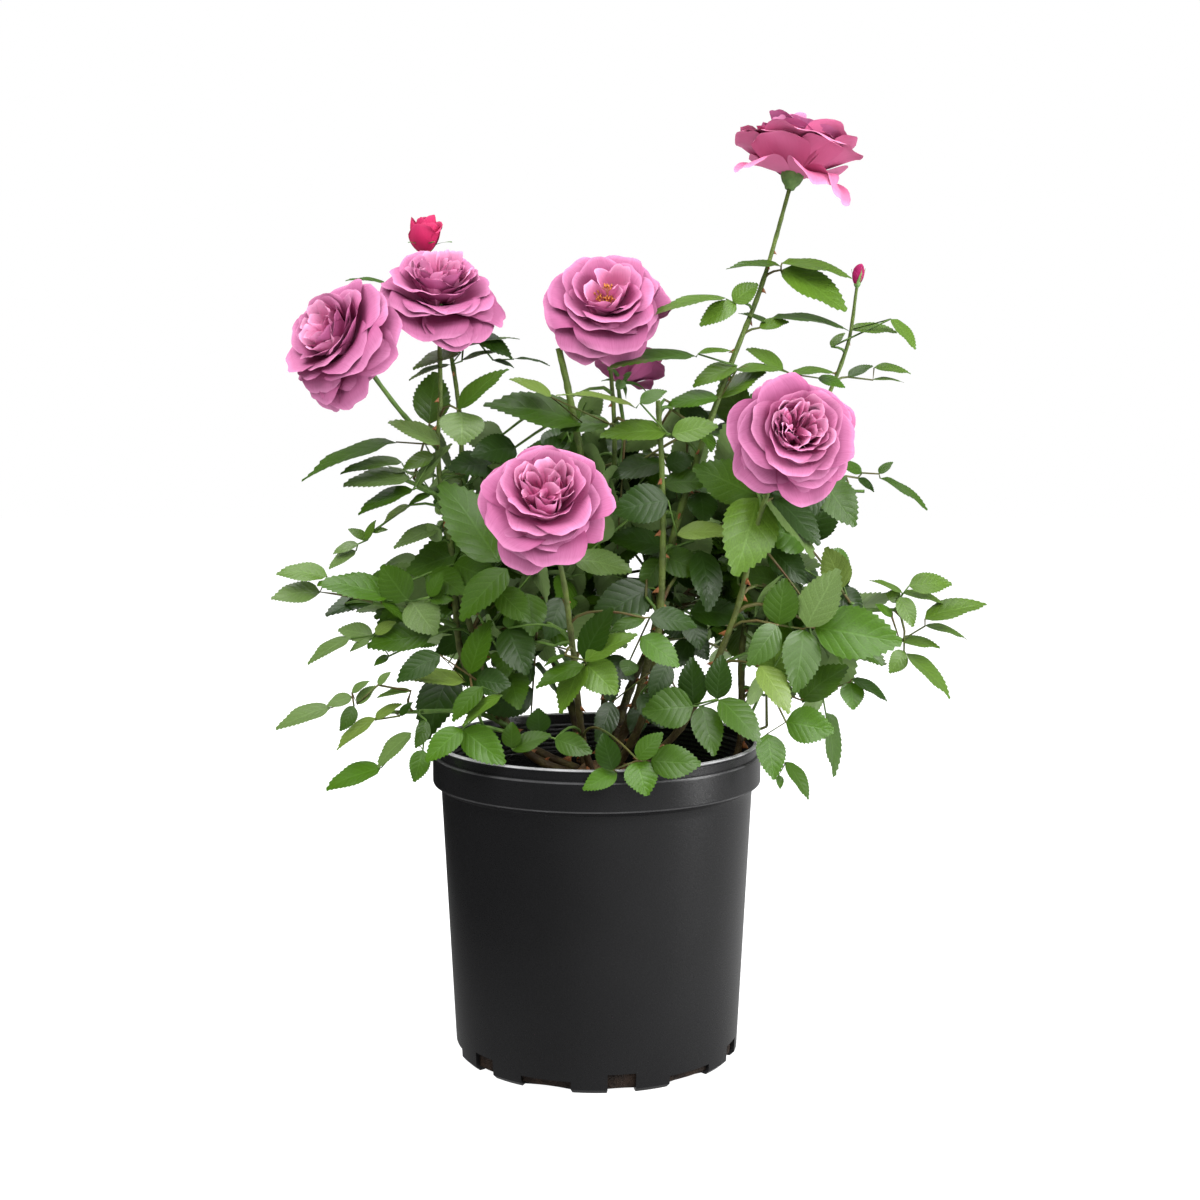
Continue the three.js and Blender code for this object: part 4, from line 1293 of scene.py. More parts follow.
def compound_leaf(bush, region, base, heading, size, tone):
    """A leaf of five leaflets that grows from `base`, or nothing where it would cover a placed one."""
    rng = bush.rng
    t = np.linspace(0, 1, 7)[:, None]
    side = unit(np.cross(heading, UP) + scattered(rng, 0.35))
    stem = base + heading * size * t - UP * size * LEAF_DROOP * t**2
    forward = unit(stem[-1] - stem[-2])
    leaflets = []
    for at, hand, share in LEAFLETS:
        start = base + heading * size * at * LEAF_STALK - UP * size * LEAF_DROOP * (at * LEAF_STALK) ** 2
        spread = 0.0 if hand == 0 else rng.uniform(*LEAFLET_SPREAD)
        outward = forward * math.cos(spread) + side * hand * math.sin(spread)
        direction = unit(outward - UP * rng.uniform(0.0, 0.35))
        length = share * size * rng.uniform(0.92, 1.1)
        tip, width = start + direction * length, length * rng.uniform(0.56, 0.66)
        if not (hidden_place(bush, (start + tip) / 2) or outside(bush, tip)):
            leaflets.append((start, tip, width))
    if len(leaflets) < FEWEST_LEAFLETS:
        return False
    for start, tip, width in leaflets:
        across = unit(np.cross(tip - start, UP) + scattered(rng, 0.3))
        bush.leaflet(region, start, tip, across, width, tone, rng.uniform(0.02, 0.09), rng.uniform(0.1, 0.35))
    stalk = stem[t[:, 0] <= STALK_END]
    bush.stalks.tube(stalk, (STALK["foot"], STALK["tip"]), sides=4, slot=int(rng.random() < 0.4))
    return True


def outside(bush, point):
    """Whether a leaf's tip would stand out of the part's box or its masses, or dip into the pot's wall."""
    low, high = bush.box
    if any(point < low - BOX_SLACK) or any(point > high + BOX_SLACK) or point[2] < LOWEST_LEAF:
        return True
    if min((((point - centre) / half) ** 2).sum() for centre, half in bush.masses) > STRAY:
        return True
    out = math.hypot(point[0], point[1])
    over_wall = RIM_INSIDE < out < (POT["band"] + RIM_ROOM) * MM
    return over_wall and point[2] < (POT["height"] + RIM_ROOM) * MM


def hidden_place(bush, point):
    """Whether a leaf here would close an opening, or cover a flower or a placed leaf from the front."""
    u, v = Lens.seen(point)
    if any(left < u < right and top < v < bottom for left, top, right, bottom in OPENINGS):
        return True
    for left, top, right, bottom, depth in SHOWN_CANES:
        if left < u < right and top < v < bottom and point[1] < depth:
            return True
    for flower in FLOWERS.values():
        facing = unit(np.array(flower["facing"], float))
        middle = metres([flower["foot"]])[0] + FLOWER_ROOM["middle"] * facing
        off = math.dist((u, v), Lens.seen(middle))
        if off < FLOWER_ROOM["shown"] and point[1] < middle[1] + FLOWER_ROOM["depth"]:
            return True
        if np.linalg.norm(point - middle) < FLOWER_ROOM["reach"]:
            return True
    for leaf_u, leaf_v, reach, near in bush.placed_seen:
        room = reach * PLACED_ROOM["share"] + PLACED_ROOM["shown"]
        if math.hypot(u - leaf_u, v - leaf_v) < room and point[1] < near + PLACED_ROOM["depth"]:
            return True
    return False


def random_inside(rng, centre, half):
    """A random point of a ball with three half widths."""
    while True:
        point = np.array([rng.uniform(-1, 1) for _ in range(3)])
        if point @ point <= 1:
            return centre + point * half


def pick_tone(rng):
    return rng.choices(list(TONE_SHARES), list(TONE_SHARES.values()))[0]


def grow_shoot(bush, region, path, centre):
    """One shoot as far as it carries leaves, which are a golden turn apart. Gives how many they are."""
    rng = bush.rng
    lengths = np.linalg.norm(np.diff(path, axis=0), axis=1).cumsum()
    first = max(0.012, lengths[-1] * BARE_SHOOT)
    spots = np.arange(first, lengths[-1] + 0.004, bush.settings.leaf_spacing)
    tone = pick_tone(rng)
    turn = rng.uniform(0, 2 * math.pi)
    borne, last = 0, 0
    for at in [*spots[-3:], lengths[-1]]:
        i = min(int(np.searchsorted(lengths, at)), len(path) - 2)
        ahead = unit(path[i + 1] - path[i])
        turn += GOLDEN_TURN
        across = unit(np.cross(ahead, (0.2, 0.3, 1.0)))
        out = across * math.cos(turn) + np.cross(ahead, across) * math.sin(turn)
        away = unit(path[i + 1] - centre)
        leaning = unit(0.9 * out + 0.55 * ahead + 0.35 * away + UP * 0.25)
        size = bush.settings.leaf_length * rng.uniform(0.75, 1.15)
        leaf_tone = tone if rng.random() < SAME_TONE else pick_tone(rng)
        if compound_leaf(bush, region, path[i + 1], leaning, size, leaf_tone):
            borne, last = borne + 1, i + 2
    if borne:
        bush.shoots.tube(path[:last], (SHOOT["foot"], SHOOT["tip"]), slot=int(rng.random() < 0.3))
    return borne


def grow_mass(bush, region, mass):
    """Shoots that grow on from the limbs into one mass until it has its leaves."""
    rng = bush.rng
    centre, half = mass_room(mass)
    half = half * bush.settings.fill
    litres = 4 / 3 * math.pi * half.prod() * 1000
    density = DENSITY.get(mass, 1.0)
    wanted = max(2, round(litres * bush.settings.leaves_per_litre * density))
    grown, tries = 0, 0
    while grown < wanted and tries < wanted * TRIES:
        tries += 1
        end = random_inside(rng, centre, half)
        foot, heading = bush.nearest_limb(end + np.array([rng.gauss(0, FOOT_WANDER) for _ in range(3)]))
        too_long = density < 1 and np.linalg.norm(end - foot) > SPARSE_REACH
        if foot[2] <= end[2] + MOST_HANG and not too_long:
            grown += grow_shoot(bush, region, shoot_path(foot, heading, end), centre)


def build_leaves(settings):
    """The placed leaves, then those that grow into each mass, with their stalks and shoots."""
    bush = Bush(settings)
    for name, (depth, leaflets) in PLACED_LEAVES.items():
        place_leaf(bush, name, depth, leaflets)
    for region, masses in REGIONS.items():
        for mass in masses:
            grow_mass(bush, region, mass)
    tones = [material(f"leaf_{tone}") for tone in TONE_SLOTS]
    for region, sheaf in bush.regions.items():
        sheaf.build(f"leaves_{region}", tones, "leaf", [f"foliage_{mass}" for mass in REGIONS[region]])
    wood = [material("young_shoot"), material("red_stalk")]
    bush.stalks.build("leaf_stalks", wood, "green_shoot")
    bush.shoots.build("shoots", wood, "green_shoot")


# ---- flowers ----------------------------------------------------------------
BUD_HEADS = {  # each with the size and the tilts of its cup, and with layers of petals as in PETAL_LAYERS
    "left": {
        "petals": "petal_bud", "cup": (0.7, (58, 100)),
        "layers": [
            (3, 22, 28, 54, -26, 2.6, 3.0, 12.0, 0.10, 0), (3, 24, 26, 48, -30, 2.2, 3.5, 10.5, 0.06, 0),
            (3, 25, 21, 34, -30, 1.6, 4.0, 8.0, 0.03, 0),
        ],
    },
    "right": {
        "petals": "petal_bud_dark", "cup": (0.5, (30, -8)),
        "layers": [(4, 14, 11, 40, -28, 1.0, 1.8, 4.6, 0.0, 0), (3, 14, 9, 30, -26, 0.6, 2.2, 3.6, 0.0, 0)],
    },
}
BUD_TURN = 47  # from one layer of a bud to the next, in degrees
HALF_OPEN = {
    "cup": (0.8, (70, 120)), "turn": 31,
    "layers": [
        (5, 30, 30, 38, 52, 2.6, 6.0, 22, 0.16, 2), (5, 29, 26, 22, 30, 2.2, 6.5, 15, 0.08, 1),
        (6, 27, 20, 8, 12, 1.6, 7.0, 9, 0.04, 0),
    ],
}
# Clusters at a rose's heart, how many of each cluster's layers, its turn in degrees, and petals that hang
# apart: azimuth, length, width, tilt at the foot and at the end. Where one differs from the rest, also how
# many inner layers are left out, its size, how far it opens, its outer petals and its cup.
ROSES = {
    "left": {
        "clusters": 2, "folds": 2, "turn": 20,
        "hanging": [(-62, 44, 44, 84, 118), (-95, 43, 42, 86, 120), (-10, 44, 40, 84, 108)],
    },
    "upper_left": {
        "clusters": 4, "folds": 2, "turn": 64,
        "hanging": [(-75, 43, 46, 90, 122), (-20, 45, 40, 84, 96)],
    },
    "centre": {
        "hollow": 1, "clusters": 2, "folds": 1, "turn": 8,
        "hanging": [(-75, 42, 46, 88, 112), (-118, 42, 44, 88, 108)],
    },
    "front": {
        "hollow": 1, "clusters": 3, "folds": 3, "turn": 40,
        "hanging": [(-112, 44, 42, 86, 108)],
    },
    "right": {
        "clusters": 4, "folds": 3, "turn": 45, "size": 0.97,
        "hanging": [(-75, 44, 48, 82, 102), (-140, 42, 44, 84, 100)],
    },
    "top": {
        "clusters": 2, "folds": 2, "turn": 100, "size": 1.1, "openness": 0.68,
        "outer": "petal_faded", "cup": (1.7, (54, 44), 0.6),
        "hanging": [(-30, 47, 44, 92, 140), (-66, 43, 42, 90, 134), (-150, 42, 40, 88, 118)],
    },
}
HANGING = (4.6, 8.0, 34, 0.1)  # ring, lift, curl across and turn back of a petal that hangs apart
OUTER_SLOT = 2
LAYER_TURN = 11  # degrees that a layer is turned on beyond half a petal
CLUSTER_OFFSET = 9.0
HEART_SPREAD = 105  # degrees between the folded petals of one layer
NOTCH = {"depth": 0.02, "width": 0.2}  # at a petal's tip
SCALLOP = 0.018  # how uneven a petal's end is
CORNER = 0.17  # how far a petal's end is rounded off at the sides
OPEN_ROSE = "centre"  # the one whose stamens show
STAMENS = {"count": 54, "lean": (0.12, 0.5), "length": (9, 13), "ring": 2.4, "foot": 17.0, "head": 2.0}
SEPAL = {"count": 5, "length": 24, "width": 7.5, "ring": 3.2, "lift": 7.0, "curl": 6.0, "ruffle": 0.02}
HIP = [(2.0, -1.5), (2.6, 0), (4.0, 1.6), (5.0, 4.0), (5.1, 6.2), (4.2, 8.2), (3.2, 10.0)]


class FlowerPlace:
    """Takes points from a flower's own axes, in millimetres with Z along its face, to the part's frame."""

    def __init__(self, place):
        self.foot = metres([place["foot"]])[0]
        axis = unit(np.array(place["facing"], float))
        side = unit(np.cross(UP if abs(axis[2]) < 0.9 else (0.0, -1.0, 0.0), axis))
        if abs(axis[2]) >= 0.9:
            side = unit(np.cross(np.cross(axis, (1.0, 0.0, 0.0)), axis))
        self.rows = np.array([side, np.cross(axis, side), axis])

    def __call__(self, points):
        return self.foot + (points * MM) @ self.rows


def petal_outline(along):
    """A petal's half width, as a share of its widest, narrow at the foot and broad and round at the end."""
    rising = 0.22 + 0.78 * np.sin(np.pi / 2 * np.minimum(1, along / PETAL_SHOULDER))
    past = np.clip((along - PETAL_SHOULDER) / (1 - PETAL_SHOULDER), 0, 1)
    return rising * np.sqrt(np.clip(1 - 0.4 * past**2, 0, 1))


def sepal_outline(along):
    return np.clip(1.0 - along, 0.02, 1) ** 0.7 * (0.75 + 0.25 * np.sin(np.pi * along))


def summed(slopes):
    """How far a line has come at each of its even steps, as a share of its length, from its slopes there."""
    return np.concatenate([[0], np.cumsum((slopes[1:] + slopes[:-1]) / 2)]) / PETAL_STEPS


def petal_points(master, spec, azimuth, rng, outline=petal_outline, ruffle=0.045, skew=0.0):
    """One petal in its flower's axes. Its middle line bends from one tilt to another, its sides curl round
    the flower's axis, and its edge turns back and ruffles."""
    length, width, foot_tilt, end_tilt, ring, lift, curl, back = spec
    along, across = master.flat[:, 0], master.flat[:, 1]
    phase = rng.uniform(0, 6)
    notch = NOTCH["depth"] * np.exp(-(((across - 2 * skew) / NOTCH["width"]) ** 2))
    scallop = SCALLOP * np.sin(4.2 * across + phase) + notch
    rounded = along * (1 - along * (CORNER * np.abs(across) ** 2.7 + scallop - skew * across))
    fine = np.linspace(0, 1, PETAL_STEPS + 1)
    tilt = np.radians(foot_tilt + (end_tilt - foot_tilt) * fine**1.4)
    here_out = np.interp(rounded, fine, summed(np.sin(tilt)) * length + ring)
    here_high = np.interp(rounded, fine, summed(np.cos(tilt)) * length + lift)
    here_tilt = np.interp(rounded, fine, tilt)
    bend = across * outline(along) * width / 2 / curl
    wave = np.sin(3.1 * across + phase) + 0.45 * np.sin(6.3 * across + 2.1 * phase)
    rim = np.minimum(along**8 + 0.7 * np.abs(across) ** 5 * along**1.5, 1)
    turned_back = back * length * rim * (1 + 0.5 * np.sin(phase + 2 * across))
    inward = curl * (1 - np.cos(bend)) - turned_back + ruffle * length * along**3 * wave
    radial = here_out - np.cos(here_tilt) * inward
    height = here_high + np.sin(here_tilt) * inward
    sideways = curl * np.sin(bend)
    turn = math.radians(azimuth)
    return np.column_stack([
        radial * math.cos(turn) - sideways * math.sin(turn),
        radial * math.sin(turn) + sideways * math.cos(turn),
        height,
    ])


class Flower:
    """The petals of one flower, in its own place and with its own random draws."""

    def __init__(self, master, place, rng):
        self.master, self.place, self.rng = master, place, rng
        self.petals = Sheaf("Petal")

    def around(self, spread):
        return self.rng.uniform(-1, 1) * spread

    def petal(self, spec, azimuth, slot, shift=(0.0, 0.0), skew=0.0):
        points = petal_points(self.master, spec, azimuth, self.rng, skew=skew)
        points[:, :2] += shift
        self.petals.add(self.place(points), self.master.faces, slot, self.master.surface)

    def ring(self, layer, start, size=1.0, openness=1.0):
        """One ring of overlapping petals, each a little off its even place."""
        count, length, width, foot_tilt, end_tilt, ring, lift, curl, back, slot = layer
        looser = OUTER_SCATTER if slot == OUTER_SLOT else 1
        scatter = {key: value * looser for key, value in PETAL_SCATTER.items()}
        for k in range(count):
            azimuth = start + 360 * k / count + self.around(scatter["turn"])
            grow = size * (1 + self.around(scatter["size"]))
            spec = (
                length * grow, width * grow, foot_tilt * openness + self.around(scatter["foot"]),
                end_tilt * openness + self.around(scatter["end"]), ring * size,
                lift * size + self.around(scatter["lift"]), curl * size, back * self.rng.uniform(0.6, 1.6),
            )
            self.petal(spec, azimuth, slot, skew=self.around(scatter["skew"]))

    def heart(self, clusters, folds, start, size):
        """Folded petals nested in clusters round the heart of the flower."""
        rng = self.rng
        for cluster in range(clusters):
            middle = start + 360 * cluster / clusters + rng.uniform(-15, 15)
            offset = CLUSTER_OFFSET * size * rng.uniform(0.8, 1.2)
            shift = (offset * math.cos(math.radians(middle)), offset * math.sin(math.radians(middle)))
            for count, *fold, slot in HEART_LAYERS[:folds]:
                length, width, foot_tilt, end_tilt, ring, lift, curl, back = fold
                for k in range(count):
                    azimuth = middle + HEART_SPREAD * (k - (count - 1) / 2) + rng.uniform(-22, 22)
                    spec = (
                        length * size * rng.uniform(0.86, 1.06), width * size * rng.uniform(0.9, 1.15),
                        foot_tilt + rng.uniform(-6, 6), end_tilt + rng.uniform(-12, 12), ring * size,
                        lift * size, curl * size * rng.uniform(0.8, 1.25), back,
                    )
                    self.petal(spec, azimuth, slot, shift, rng.uniform(-0.2, 0.2))


class GreenCups:
    """The green hips and sepals under the flowers, gathered in one sheaf."""

    def __init__(self, master):
        self.master = master
        self.hip_points, self.hip_faces = taken_apart(turned(HIP, 10))
        self.hip_points /= MM
        self.sheaf = Sheaf()

    def add(self, flower, size=1.0, tilts=(84, 132), length=1.0):
        """A hip on the stem's end with its sepals."""
        rng = flower.rng
        self.sheaf.add(flower.place(self.hip_points * size), self.hip_faces)
        for k in range(SEPAL["count"]):
            spec = (
                SEPAL["length"] * size * length * rng.uniform(0.85, 1.1), SEPAL["width"] * size,
                tilts[0] + rng.uniform(-6, 6), tilts[1] + rng.uniform(-16, 16),
                SEPAL["ring"] * size, SEPAL["lift"] * size, SEPAL["curl"] * size, 0.0,
            )
            azimuth = 360 / SEPAL["count"] * k + rng.uniform(-10, 10)
            points = petal_points(self.master, spec, azimuth, rng, sepal_outline, SEPAL["ruffle"])
            self.sheaf.add(flower.place(points), self.master.faces)


def build_roses(settings):
    """The open roses, the half-open one and the buds, each with its green cup."""
    master = grid_master(PETAL_GRID, PETAL_GRID)
    cups = GreenCups(master)
    inner, middle, outer = material("petal_inner"), material("petal_middle"), material("petal_outer")
    for number, (name, rose) in enumerate(ROSES.items()):
        flower = Flower(master, FlowerPlace(FLOWERS[name]), random.Random(settings.seed + number))
        start = rose["turn"]
        size = settings.petal_size * rose.get("size", 1.0)
        for layer in PETAL_LAYERS[: len(PETAL_LAYERS) - rose.get("hollow", 0)]:
            flower.ring(layer, start, size, rose.get("openness", 1.0))
            start += 360 / layer[0] / 2 + LAYER_TURN
        flower.heart(rose["clusters"], rose["folds"], start, size)
        for azimuth, *petal in rose["hanging"]:
            flower.petal((*petal, *HANGING), azimuth, OUTER_SLOT)
        outermost = material(rose["outer"]) if "outer" in rose else outer
        flower.petals.build(f"petals_{name}", [inner, middle, outermost], "petal", [f"bloom_{name}"])
        cups.add(flower, *rose.get("cup", ()))
        if name == OPEN_ROSE:
            build_stamens(flower)
    rng = random.Random(settings.seed + len(ROSES))
    flower = Flower(master, FlowerPlace(FLOWERS["half_open"]), rng)
    for number, layer in enumerate(HALF_OPEN["layers"]):
        flower.ring(layer, HALF_OPEN["turn"] * number)
    flower.petals.build("petals_half_open", [inner, middle, outer], "petal", ["bloom_half_open"])
    cups.add(flower, *HALF_OPEN["cup"])
    for name, bud in BUD_HEADS.items():
        flower = Flower(master, FlowerPlace(BUDS[name]), rng)
        for number, layer in enumerate(bud["layers"]):
            flower.ring(layer, BUD_TURN * number)
        flower.petals.build(f"petals_bud_{name}", [material(bud["petals"])], "bud_petal", [f"bud_{name}"])
        cups.add(flower, *bud["cup"])
    cups.sheaf.build("cups", [material("sepal")], "green_shoot")


def build_stamens(flower):
    """Fine stalks with a small head each, in a loose ring at the heart of an open flower."""
    stamens = Sheaf()
    count, (upright, lean_more), ring = STAMENS["count"], STAMENS["lean"], STAMENS["ring"]
    for k in range(count):
        turn, lean = k * GOLDEN_TURN, upright + lean_more * (k / count)
        reach = flower.rng.uniform(*STAMENS["length"])
        heading = np.array([math.cos(turn) * math.sin(lean), math.sin(turn) * math.sin(lean), math.cos(lean)])
        start = np.array([ring * math.cos(turn), ring * math.sin(turn), STAMENS["foot"]])
        stalk = [start + heading * reach * share for share in (0, 0.6, 1)]
        stamens.tube(flower.place(np.array(stalk)), (0.25 * MM, 0.2 * MM), sides=4)
        head = [start + heading * (reach + STAMENS["head"] * share) for share in (0, 0.5, 1)]
        stamens.tube(flower.place(np.array(head)), (0.7 * MM, 0.5 * MM), sides=5)
    stamens.build("stamens", [material("stamen")], "petal")


# ---- stage ------------------------------------------------------------------
LIGHTS = [  # name, place, what it is aimed at, width and height, whether glossy surfaces show it
    ("key", (0.9, -1.6, 1.7), (0, 0, 0.4), (1.2, 1.2), True),
    ("side", (1.5, -0.5, 0.6), (0, 0, 0.2), (0.5, 1.4), True),
    ("fill", (-1.1, -1.3, 2.0), (0, 0, 0.4), (2.0, 1.6), False),
    ("back", (-0.5, 2.2, 1.5), (0, 0, 0.35), (1.6, 1.2), False),
    ("top", (-0.3, 0.1, 2.1), (0, 0, 0.4), (1.6, 1.6), True),
]
FLOOR_SIDE = 12
FLOOR_FADE = (-0.42, 0.28)  # where, from left to right, the floor that glossy surfaces show grows bright
AMBIENT_FADE = (-0.7, 0.5)  # the same for the light all round
FAR_END = 50  # of what the camera shows, in metres


def add_light(name, place, aim, size, glossy, power):
    deselect()
    bpy.ops.object.light_add(type="AREA", location=place)
    light = bpy.context.object
    light.name = name
    light.data.shape = "RECTANGLE"
    light.data.size, light.data.size_y = size
    light.data.energy = power
    light.visible_glossy = glossy
    light.rotation_euler = (Vector(aim) - Vector(place)).to_track_quat("-Z", "Y").to_euler()


def build_floor(settings):
    """A plain floor that stays white, and that glossy surfaces show dark and brighter to the right."""
    deselect()
    bpy.ops.mesh.primitive_plane_add(size=FLOOR_SIDE, location=(0, 0, 0))
    floor = bpy.context.object
    floor.name = "floor"
    colour = tuple(settings.floor_colour)
    nodes, shader = new_material("floor", Emission_Color=(1, 1, 1, 1), Roughness=0.9)
    floor.data.materials.append(material("floor"))
    mirrored = nodes.add("ShaderNodeLightPath").outputs["Is Glossy Ray"]
    direct = nodes.maths("SUBTRACT", 1.0, mirrored)
    place = nodes.add("ShaderNodeTexCoord").outputs["Object"]
    across = nodes.add("ShaderNodeSeparateXYZ", {0: place}).outputs[0]
    mirror_glow = nodes.remap(across, *FLOOR_FADE, 0.0, settings.floor_mirror)
    share = nodes.maths("MULTIPLY_ADD", mirrored, mirror_glow, direct)
    glow = nodes.maths("MULTIPLY", share, settings.floor_glow)
    nodes.feed(shader, "Emission Strength", glow)
    nodes.feed(shader, "Base Color", nodes.mix(direct, (0, 0, 0), colour))


def build_world(settings):
    """White behind the bush, and a soft light all round that glossy surfaces show dimmer on the left."""
    world = bpy.data.worlds.new("studio")
    bpy.context.scene.world = world
    world.use_nodes = True
    nodes = Nodes(world.node_tree)
    light = world.node_tree.nodes["Background"]
    nodes.feed(light, "Color", (1, 1, 1, 1))
    backdrop = nodes.add("ShaderNodeBackground", {"Color": (1, 1, 1, 1), "Strength": 1.0})
    rays = nodes.add("ShaderNodeLightPath")
    heading = nodes.add("ShaderNodeTexCoord").outputs["Generated"]
    from_right = nodes.add("ShaderNodeSeparateXYZ", {0: heading}).outputs[0]
    dimmed = nodes.remap(from_right, *AMBIENT_FADE, settings.dim_side - 1.0, 0.0)
    share = nodes.maths("MULTIPLY_ADD", rays.outputs["Is Glossy Ray"], dimmed, 1.0)
    strength = nodes.maths("MULTIPLY", share, settings.ambient)
    nodes.feed(light, "Strength", strength)
    ends = {0: rays.outputs["Is Camera Ray"], 1: light.outputs[0], 2: backdrop.outputs[0]}
    mixed = nodes.add("ShaderNodeMixShader", ends)
    nodes.feed(world.node_tree.nodes["World Output"], 0, mixed.outputs[0])


def build_stage(settings):
    build_floor(settings)
    build_world(settings)
    for name, *light in LIGHTS:
        add_light(name, *light, getattr(settings, f"{name}_power"))
    deselect()
    bpy.ops.object.camera_add(
        location=(0, -CAMERA["distance"], CAMERA["height"]), rotation=(math.pi / 2 - CAMERA["pitch"], 0, 0)
    )
    camera = bpy.context.object
    camera.data.sensor_width = SENSOR
    camera.data.lens = CAMERA["lens"]
    camera.data.shift_x = CAMERA["shift"]
    camera.data.clip_end = FAR_END
    bpy.context.scene.camera = camera
    bpy.context.scene.view_settings.view_transform = "Standard"


# ---- settings, operators and panel ------------------------------------------
class PotSettings(bpy.types.PropertyGroup):
    inner_rings: bpy.props.IntProperty(
        name="Inner rings", description="Fine steps round the inside of the wall", default=9, min=0, max=20)


class MixSettings(bpy.types.PropertyGroup):
    chips: bpy.props.IntProperty(
        name="Chips", description="Bark chips on the potting mix", default=620, min=0)
    seed: bpy.props.IntProperty(name="Seed", description="Random seed of the chips", default=5)


class CaneSettings(bpy.types.PropertyGroup):
    joint_swell: bpy.props.FloatProperty(
        name="Joint swell", description="How much thicker a cane is at its joints", default=0.16,
        subtype="FACTOR", min=0, max=1)
    thorn_length: bpy.props.FloatProperty(
        name="Thorn length", description="Height of the largest thorns", default=0.0062, unit="LENGTH")
    thorn_spacing: bpy.props.FloatProperty(
        name="Thorn spacing", description="Usual way along a cane from thorn to thorn", default=0.020,
        unit="LENGTH")
    seed: bpy.props.IntProperty(name="Seed", description="Random seed of the thorns", default=3)


class LeafSettings(bpy.types.PropertyGroup):
    leaf_length: bpy.props.FloatProperty(
        name="Leaf length", description="Length of a leaf of five leaflets", default=0.112, unit="LENGTH")
    leaf_spacing: bpy.props.FloatProperty(
        name="Leaf spacing", description="Way along a shoot from leaf to leaf", default=0.024, unit="LENGTH")
    leaves_per_litre: bpy.props.FloatProperty(
        name="Leaves per litre", description="How densely a mass is filled", default=40)
    fill: bpy.props.FloatProperty(
        name="Fill", description="Share of a mass's half width that shoots end in", default=0.72,
        subtype="FACTOR", min=0, max=1)
    seed: bpy.props.IntProperty(name="Seed", description="Random seed of the growth", default=11)


class FlowerSettings(bpy.types.PropertyGroup):
    petal_size: bpy.props.FloatProperty(
        name="Petal size", description="Size of the petals of an open rose", default=0.92, min=0.5, max=1.5)
    seed: bpy.props.IntProperty(name="Seed", description="Random seed of the petals", default=21)


class StageSettings(bpy.types.PropertyGroup):
    floor_colour: bpy.props.FloatVectorProperty(
        name="Floor colour", description="Colour of the plain floor", default=(0.3, 0.3, 0.3),
        subtype="COLOR")
    floor_glow: bpy.props.FloatProperty(
        name="Floor glow", description="Light that the floor gives off, so that it stays white", default=0.98)
    floor_mirror: bpy.props.FloatProperty(
        name="Floor mirror", description="Share of the floor's light that glossy surfaces show on the right",
        default=0.58, subtype="FACTOR", min=0, max=1)
    ambient: bpy.props.FloatProperty(
        name="Ambient", description="Strength of the light all round", default=0.34)
    dim_side: bpy.props.FloatProperty(
        name="Dim side", description="Share of the ambient light that glossy surfaces show on the left",
        default=0.03, subtype="FACTOR", min=0, max=1)
    key_power: bpy.props.FloatProperty(name="Key", description="Main light", default=32, unit="POWER")
    side_power: bpy.props.FloatProperty(
        name="Side", description="Light from the right", default=30, unit="POWER")
    fill_power: bpy.props.FloatProperty(
        name="Fill", description="Light from the upper left", default=53, unit="POWER")
    back_power: bpy.props.FloatProperty(
        name="Back", description="Light from behind", default=36, unit="POWER")
    top_power: bpy.props.FloatProperty(name="Top", description="Light from above", default=34, unit="POWER")


class ROSEBUSH_OT_materials(bpy.types.Operator):
    """Make the materials and the patterns they share"""

    bl_idname = "rosebush.materials"
    bl_label = "Materials"

    def execute(self, context):
        make_materials()
        return {"FINISHED"}


class ROSEBUSH_OT_pot(bpy.types.Operator):
    """Build the nursery pot with its band, lip and drainage openings"""

    bl_idname = "rosebush.pot"
    bl_label = "Pot"

    def execute(self, context):
        build_pot(context.scene.rosebush_pot)
        return {"FINISHED"}


class ROSEBUSH_OT_mix(bpy.types.Operator):
    """Build the potting mix and its bark chips"""

    bl_idname = "rosebush.mix"
    bl_label = "Potting mix"

    def execute(self, context):
        build_mix(context.scene.rosebush_mix)
        return {"FINISHED"}


class ROSEBUSH_OT_limbs(bpy.types.Operator):
    """Build the rootstock, the canes and the side boughs"""

    bl_idname = "rosebush.limbs"
    bl_label = "Canes and boughs"

    def execute(self, context):
        build_limbs(context.scene.rosebush_canes)
        return {"FINISHED"}


class ROSEBUSH_OT_thorns(bpy.types.Operator):
    """Set hooked thorns along the canes"""

    bl_idname = "rosebush.thorns"
    bl_label = "Thorns"

    def execute(self, context):
        build_thorns(context.scene.rosebush_canes)
        return {"FINISHED"}


class ROSEBUSH_OT_leaves(bpy.types.Operator):
    """Grow the leaves, their stalks and the shoots that carry them"""

    bl_idname = "rosebush.leaves"
    bl_label = "Leaves and shoots"

    def execute(self, context):
        build_leaves(context.scene.rosebush_leaves)
        return {"FINISHED"}


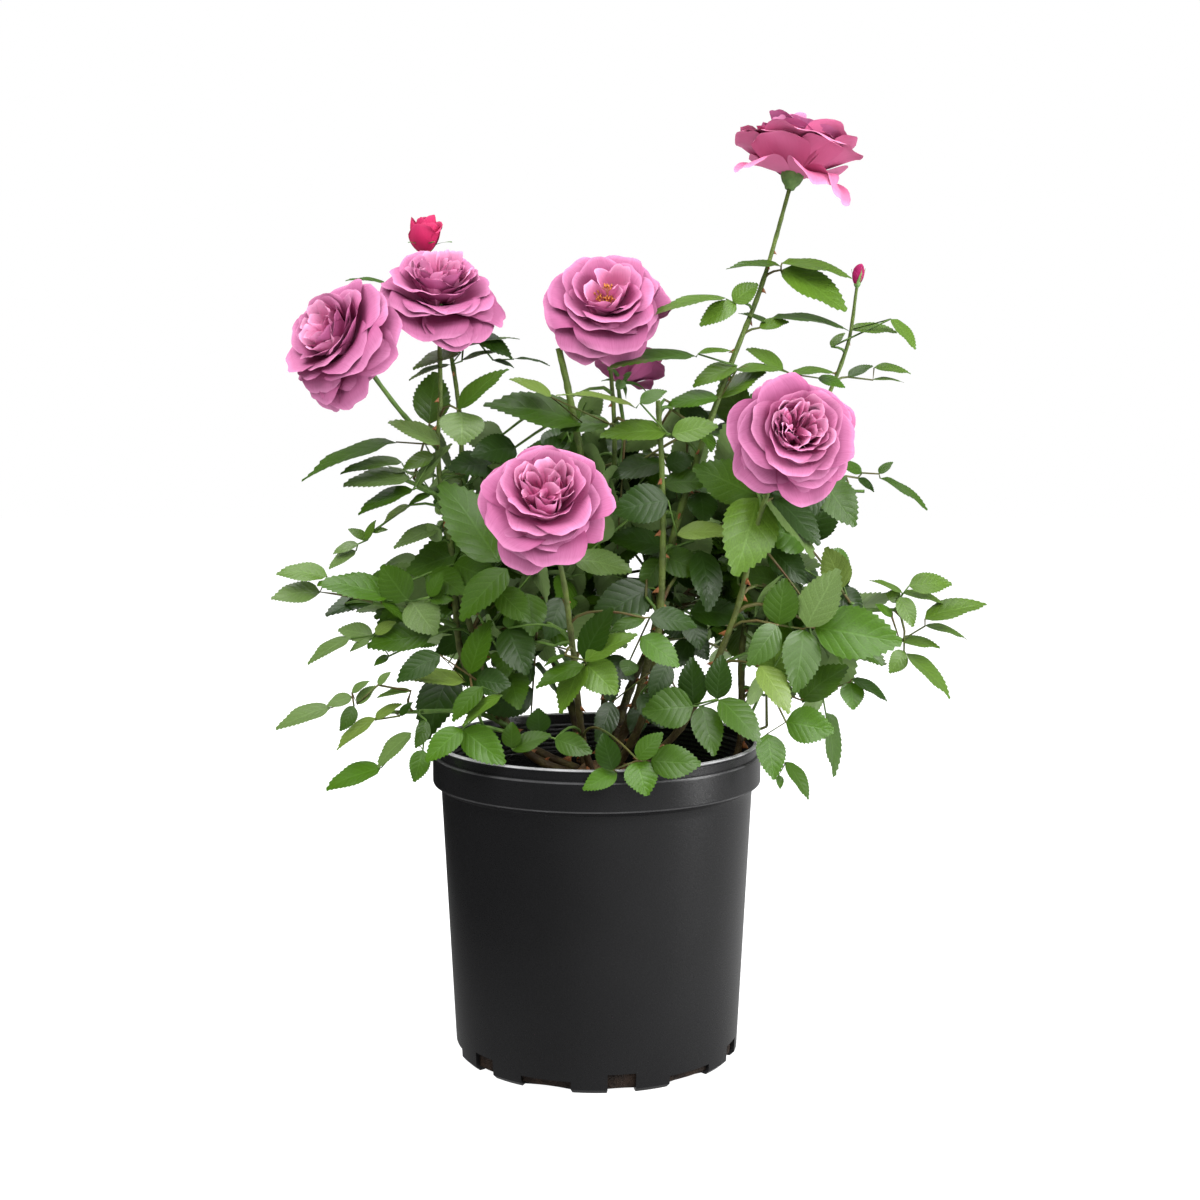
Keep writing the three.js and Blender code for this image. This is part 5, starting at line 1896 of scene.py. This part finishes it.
class ROSEBUSH_OT_roses(bpy.types.Operator):
    """Build the roses, the buds and their green cups"""

    bl_idname = "rosebush.roses"
    bl_label = "Roses and buds"

    def execute(self, context):
        build_roses(context.scene.rosebush_flowers)
        return {"FINISHED"}


class ROSEBUSH_OT_stage(bpy.types.Operator):
    """Set the floor, the studio light and the camera"""

    bl_idname = "rosebush.stage"
    bl_label = "Stage"

    def execute(self, context):
        build_stage(context.scene.rosebush_stage)
        return {"FINISHED"}


SETTINGS = {
    "rosebush_pot": PotSettings,
    "rosebush_mix": MixSettings,
    "rosebush_canes": CaneSettings,
    "rosebush_leaves": LeafSettings,
    "rosebush_flowers": FlowerSettings,
    "rosebush_stage": StageSettings,
}
OPERATORS = [
    ROSEBUSH_OT_materials, ROSEBUSH_OT_pot, ROSEBUSH_OT_mix, ROSEBUSH_OT_limbs, ROSEBUSH_OT_thorns,
    ROSEBUSH_OT_leaves, ROSEBUSH_OT_roses, ROSEBUSH_OT_stage,
]


class ROSEBUSH_PT_panel(bpy.types.Panel):
    """Lists the pieces of the rose bush and their settings"""

    bl_idname = "ROSEBUSH_PT_panel"
    bl_label = "Rose bush"
    bl_space_type = "VIEW_3D"
    bl_region_type = "UI"
    bl_category = "Rose bush"

    def draw(self, context):
        for operator in OPERATORS:
            self.layout.operator(operator.bl_idname)
        for name, group in SETTINGS.items():
            box = self.layout.box()
            for setting in group.__annotations__:
                box.prop(getattr(context.scene, name), setting)


def register():
    for made in (*SETTINGS.values(), *OPERATORS, ROSEBUSH_PT_panel):
        bpy.utils.register_class(made)
    for name, group in SETTINGS.items():
        setattr(bpy.types.Scene, name, bpy.props.PointerProperty(type=group))


def unregister():
    for name in SETTINGS:
        delattr(bpy.types.Scene, name)
    for made in (ROSEBUSH_PT_panel, *reversed(OPERATORS), *SETTINGS.values()):
        bpy.utils.unregister_class(made)


def main():
    register()
    bpy.ops.rosebush.materials()
    bpy.ops.rosebush.pot()
    bpy.ops.rosebush.mix()
    bpy.ops.rosebush.limbs()
    bpy.ops.rosebush.thorns()
    bpy.ops.rosebush.leaves()
    bpy.ops.rosebush.roses()
    bpy.ops.rosebush.stage()


if __name__ == "__main__":
    main()
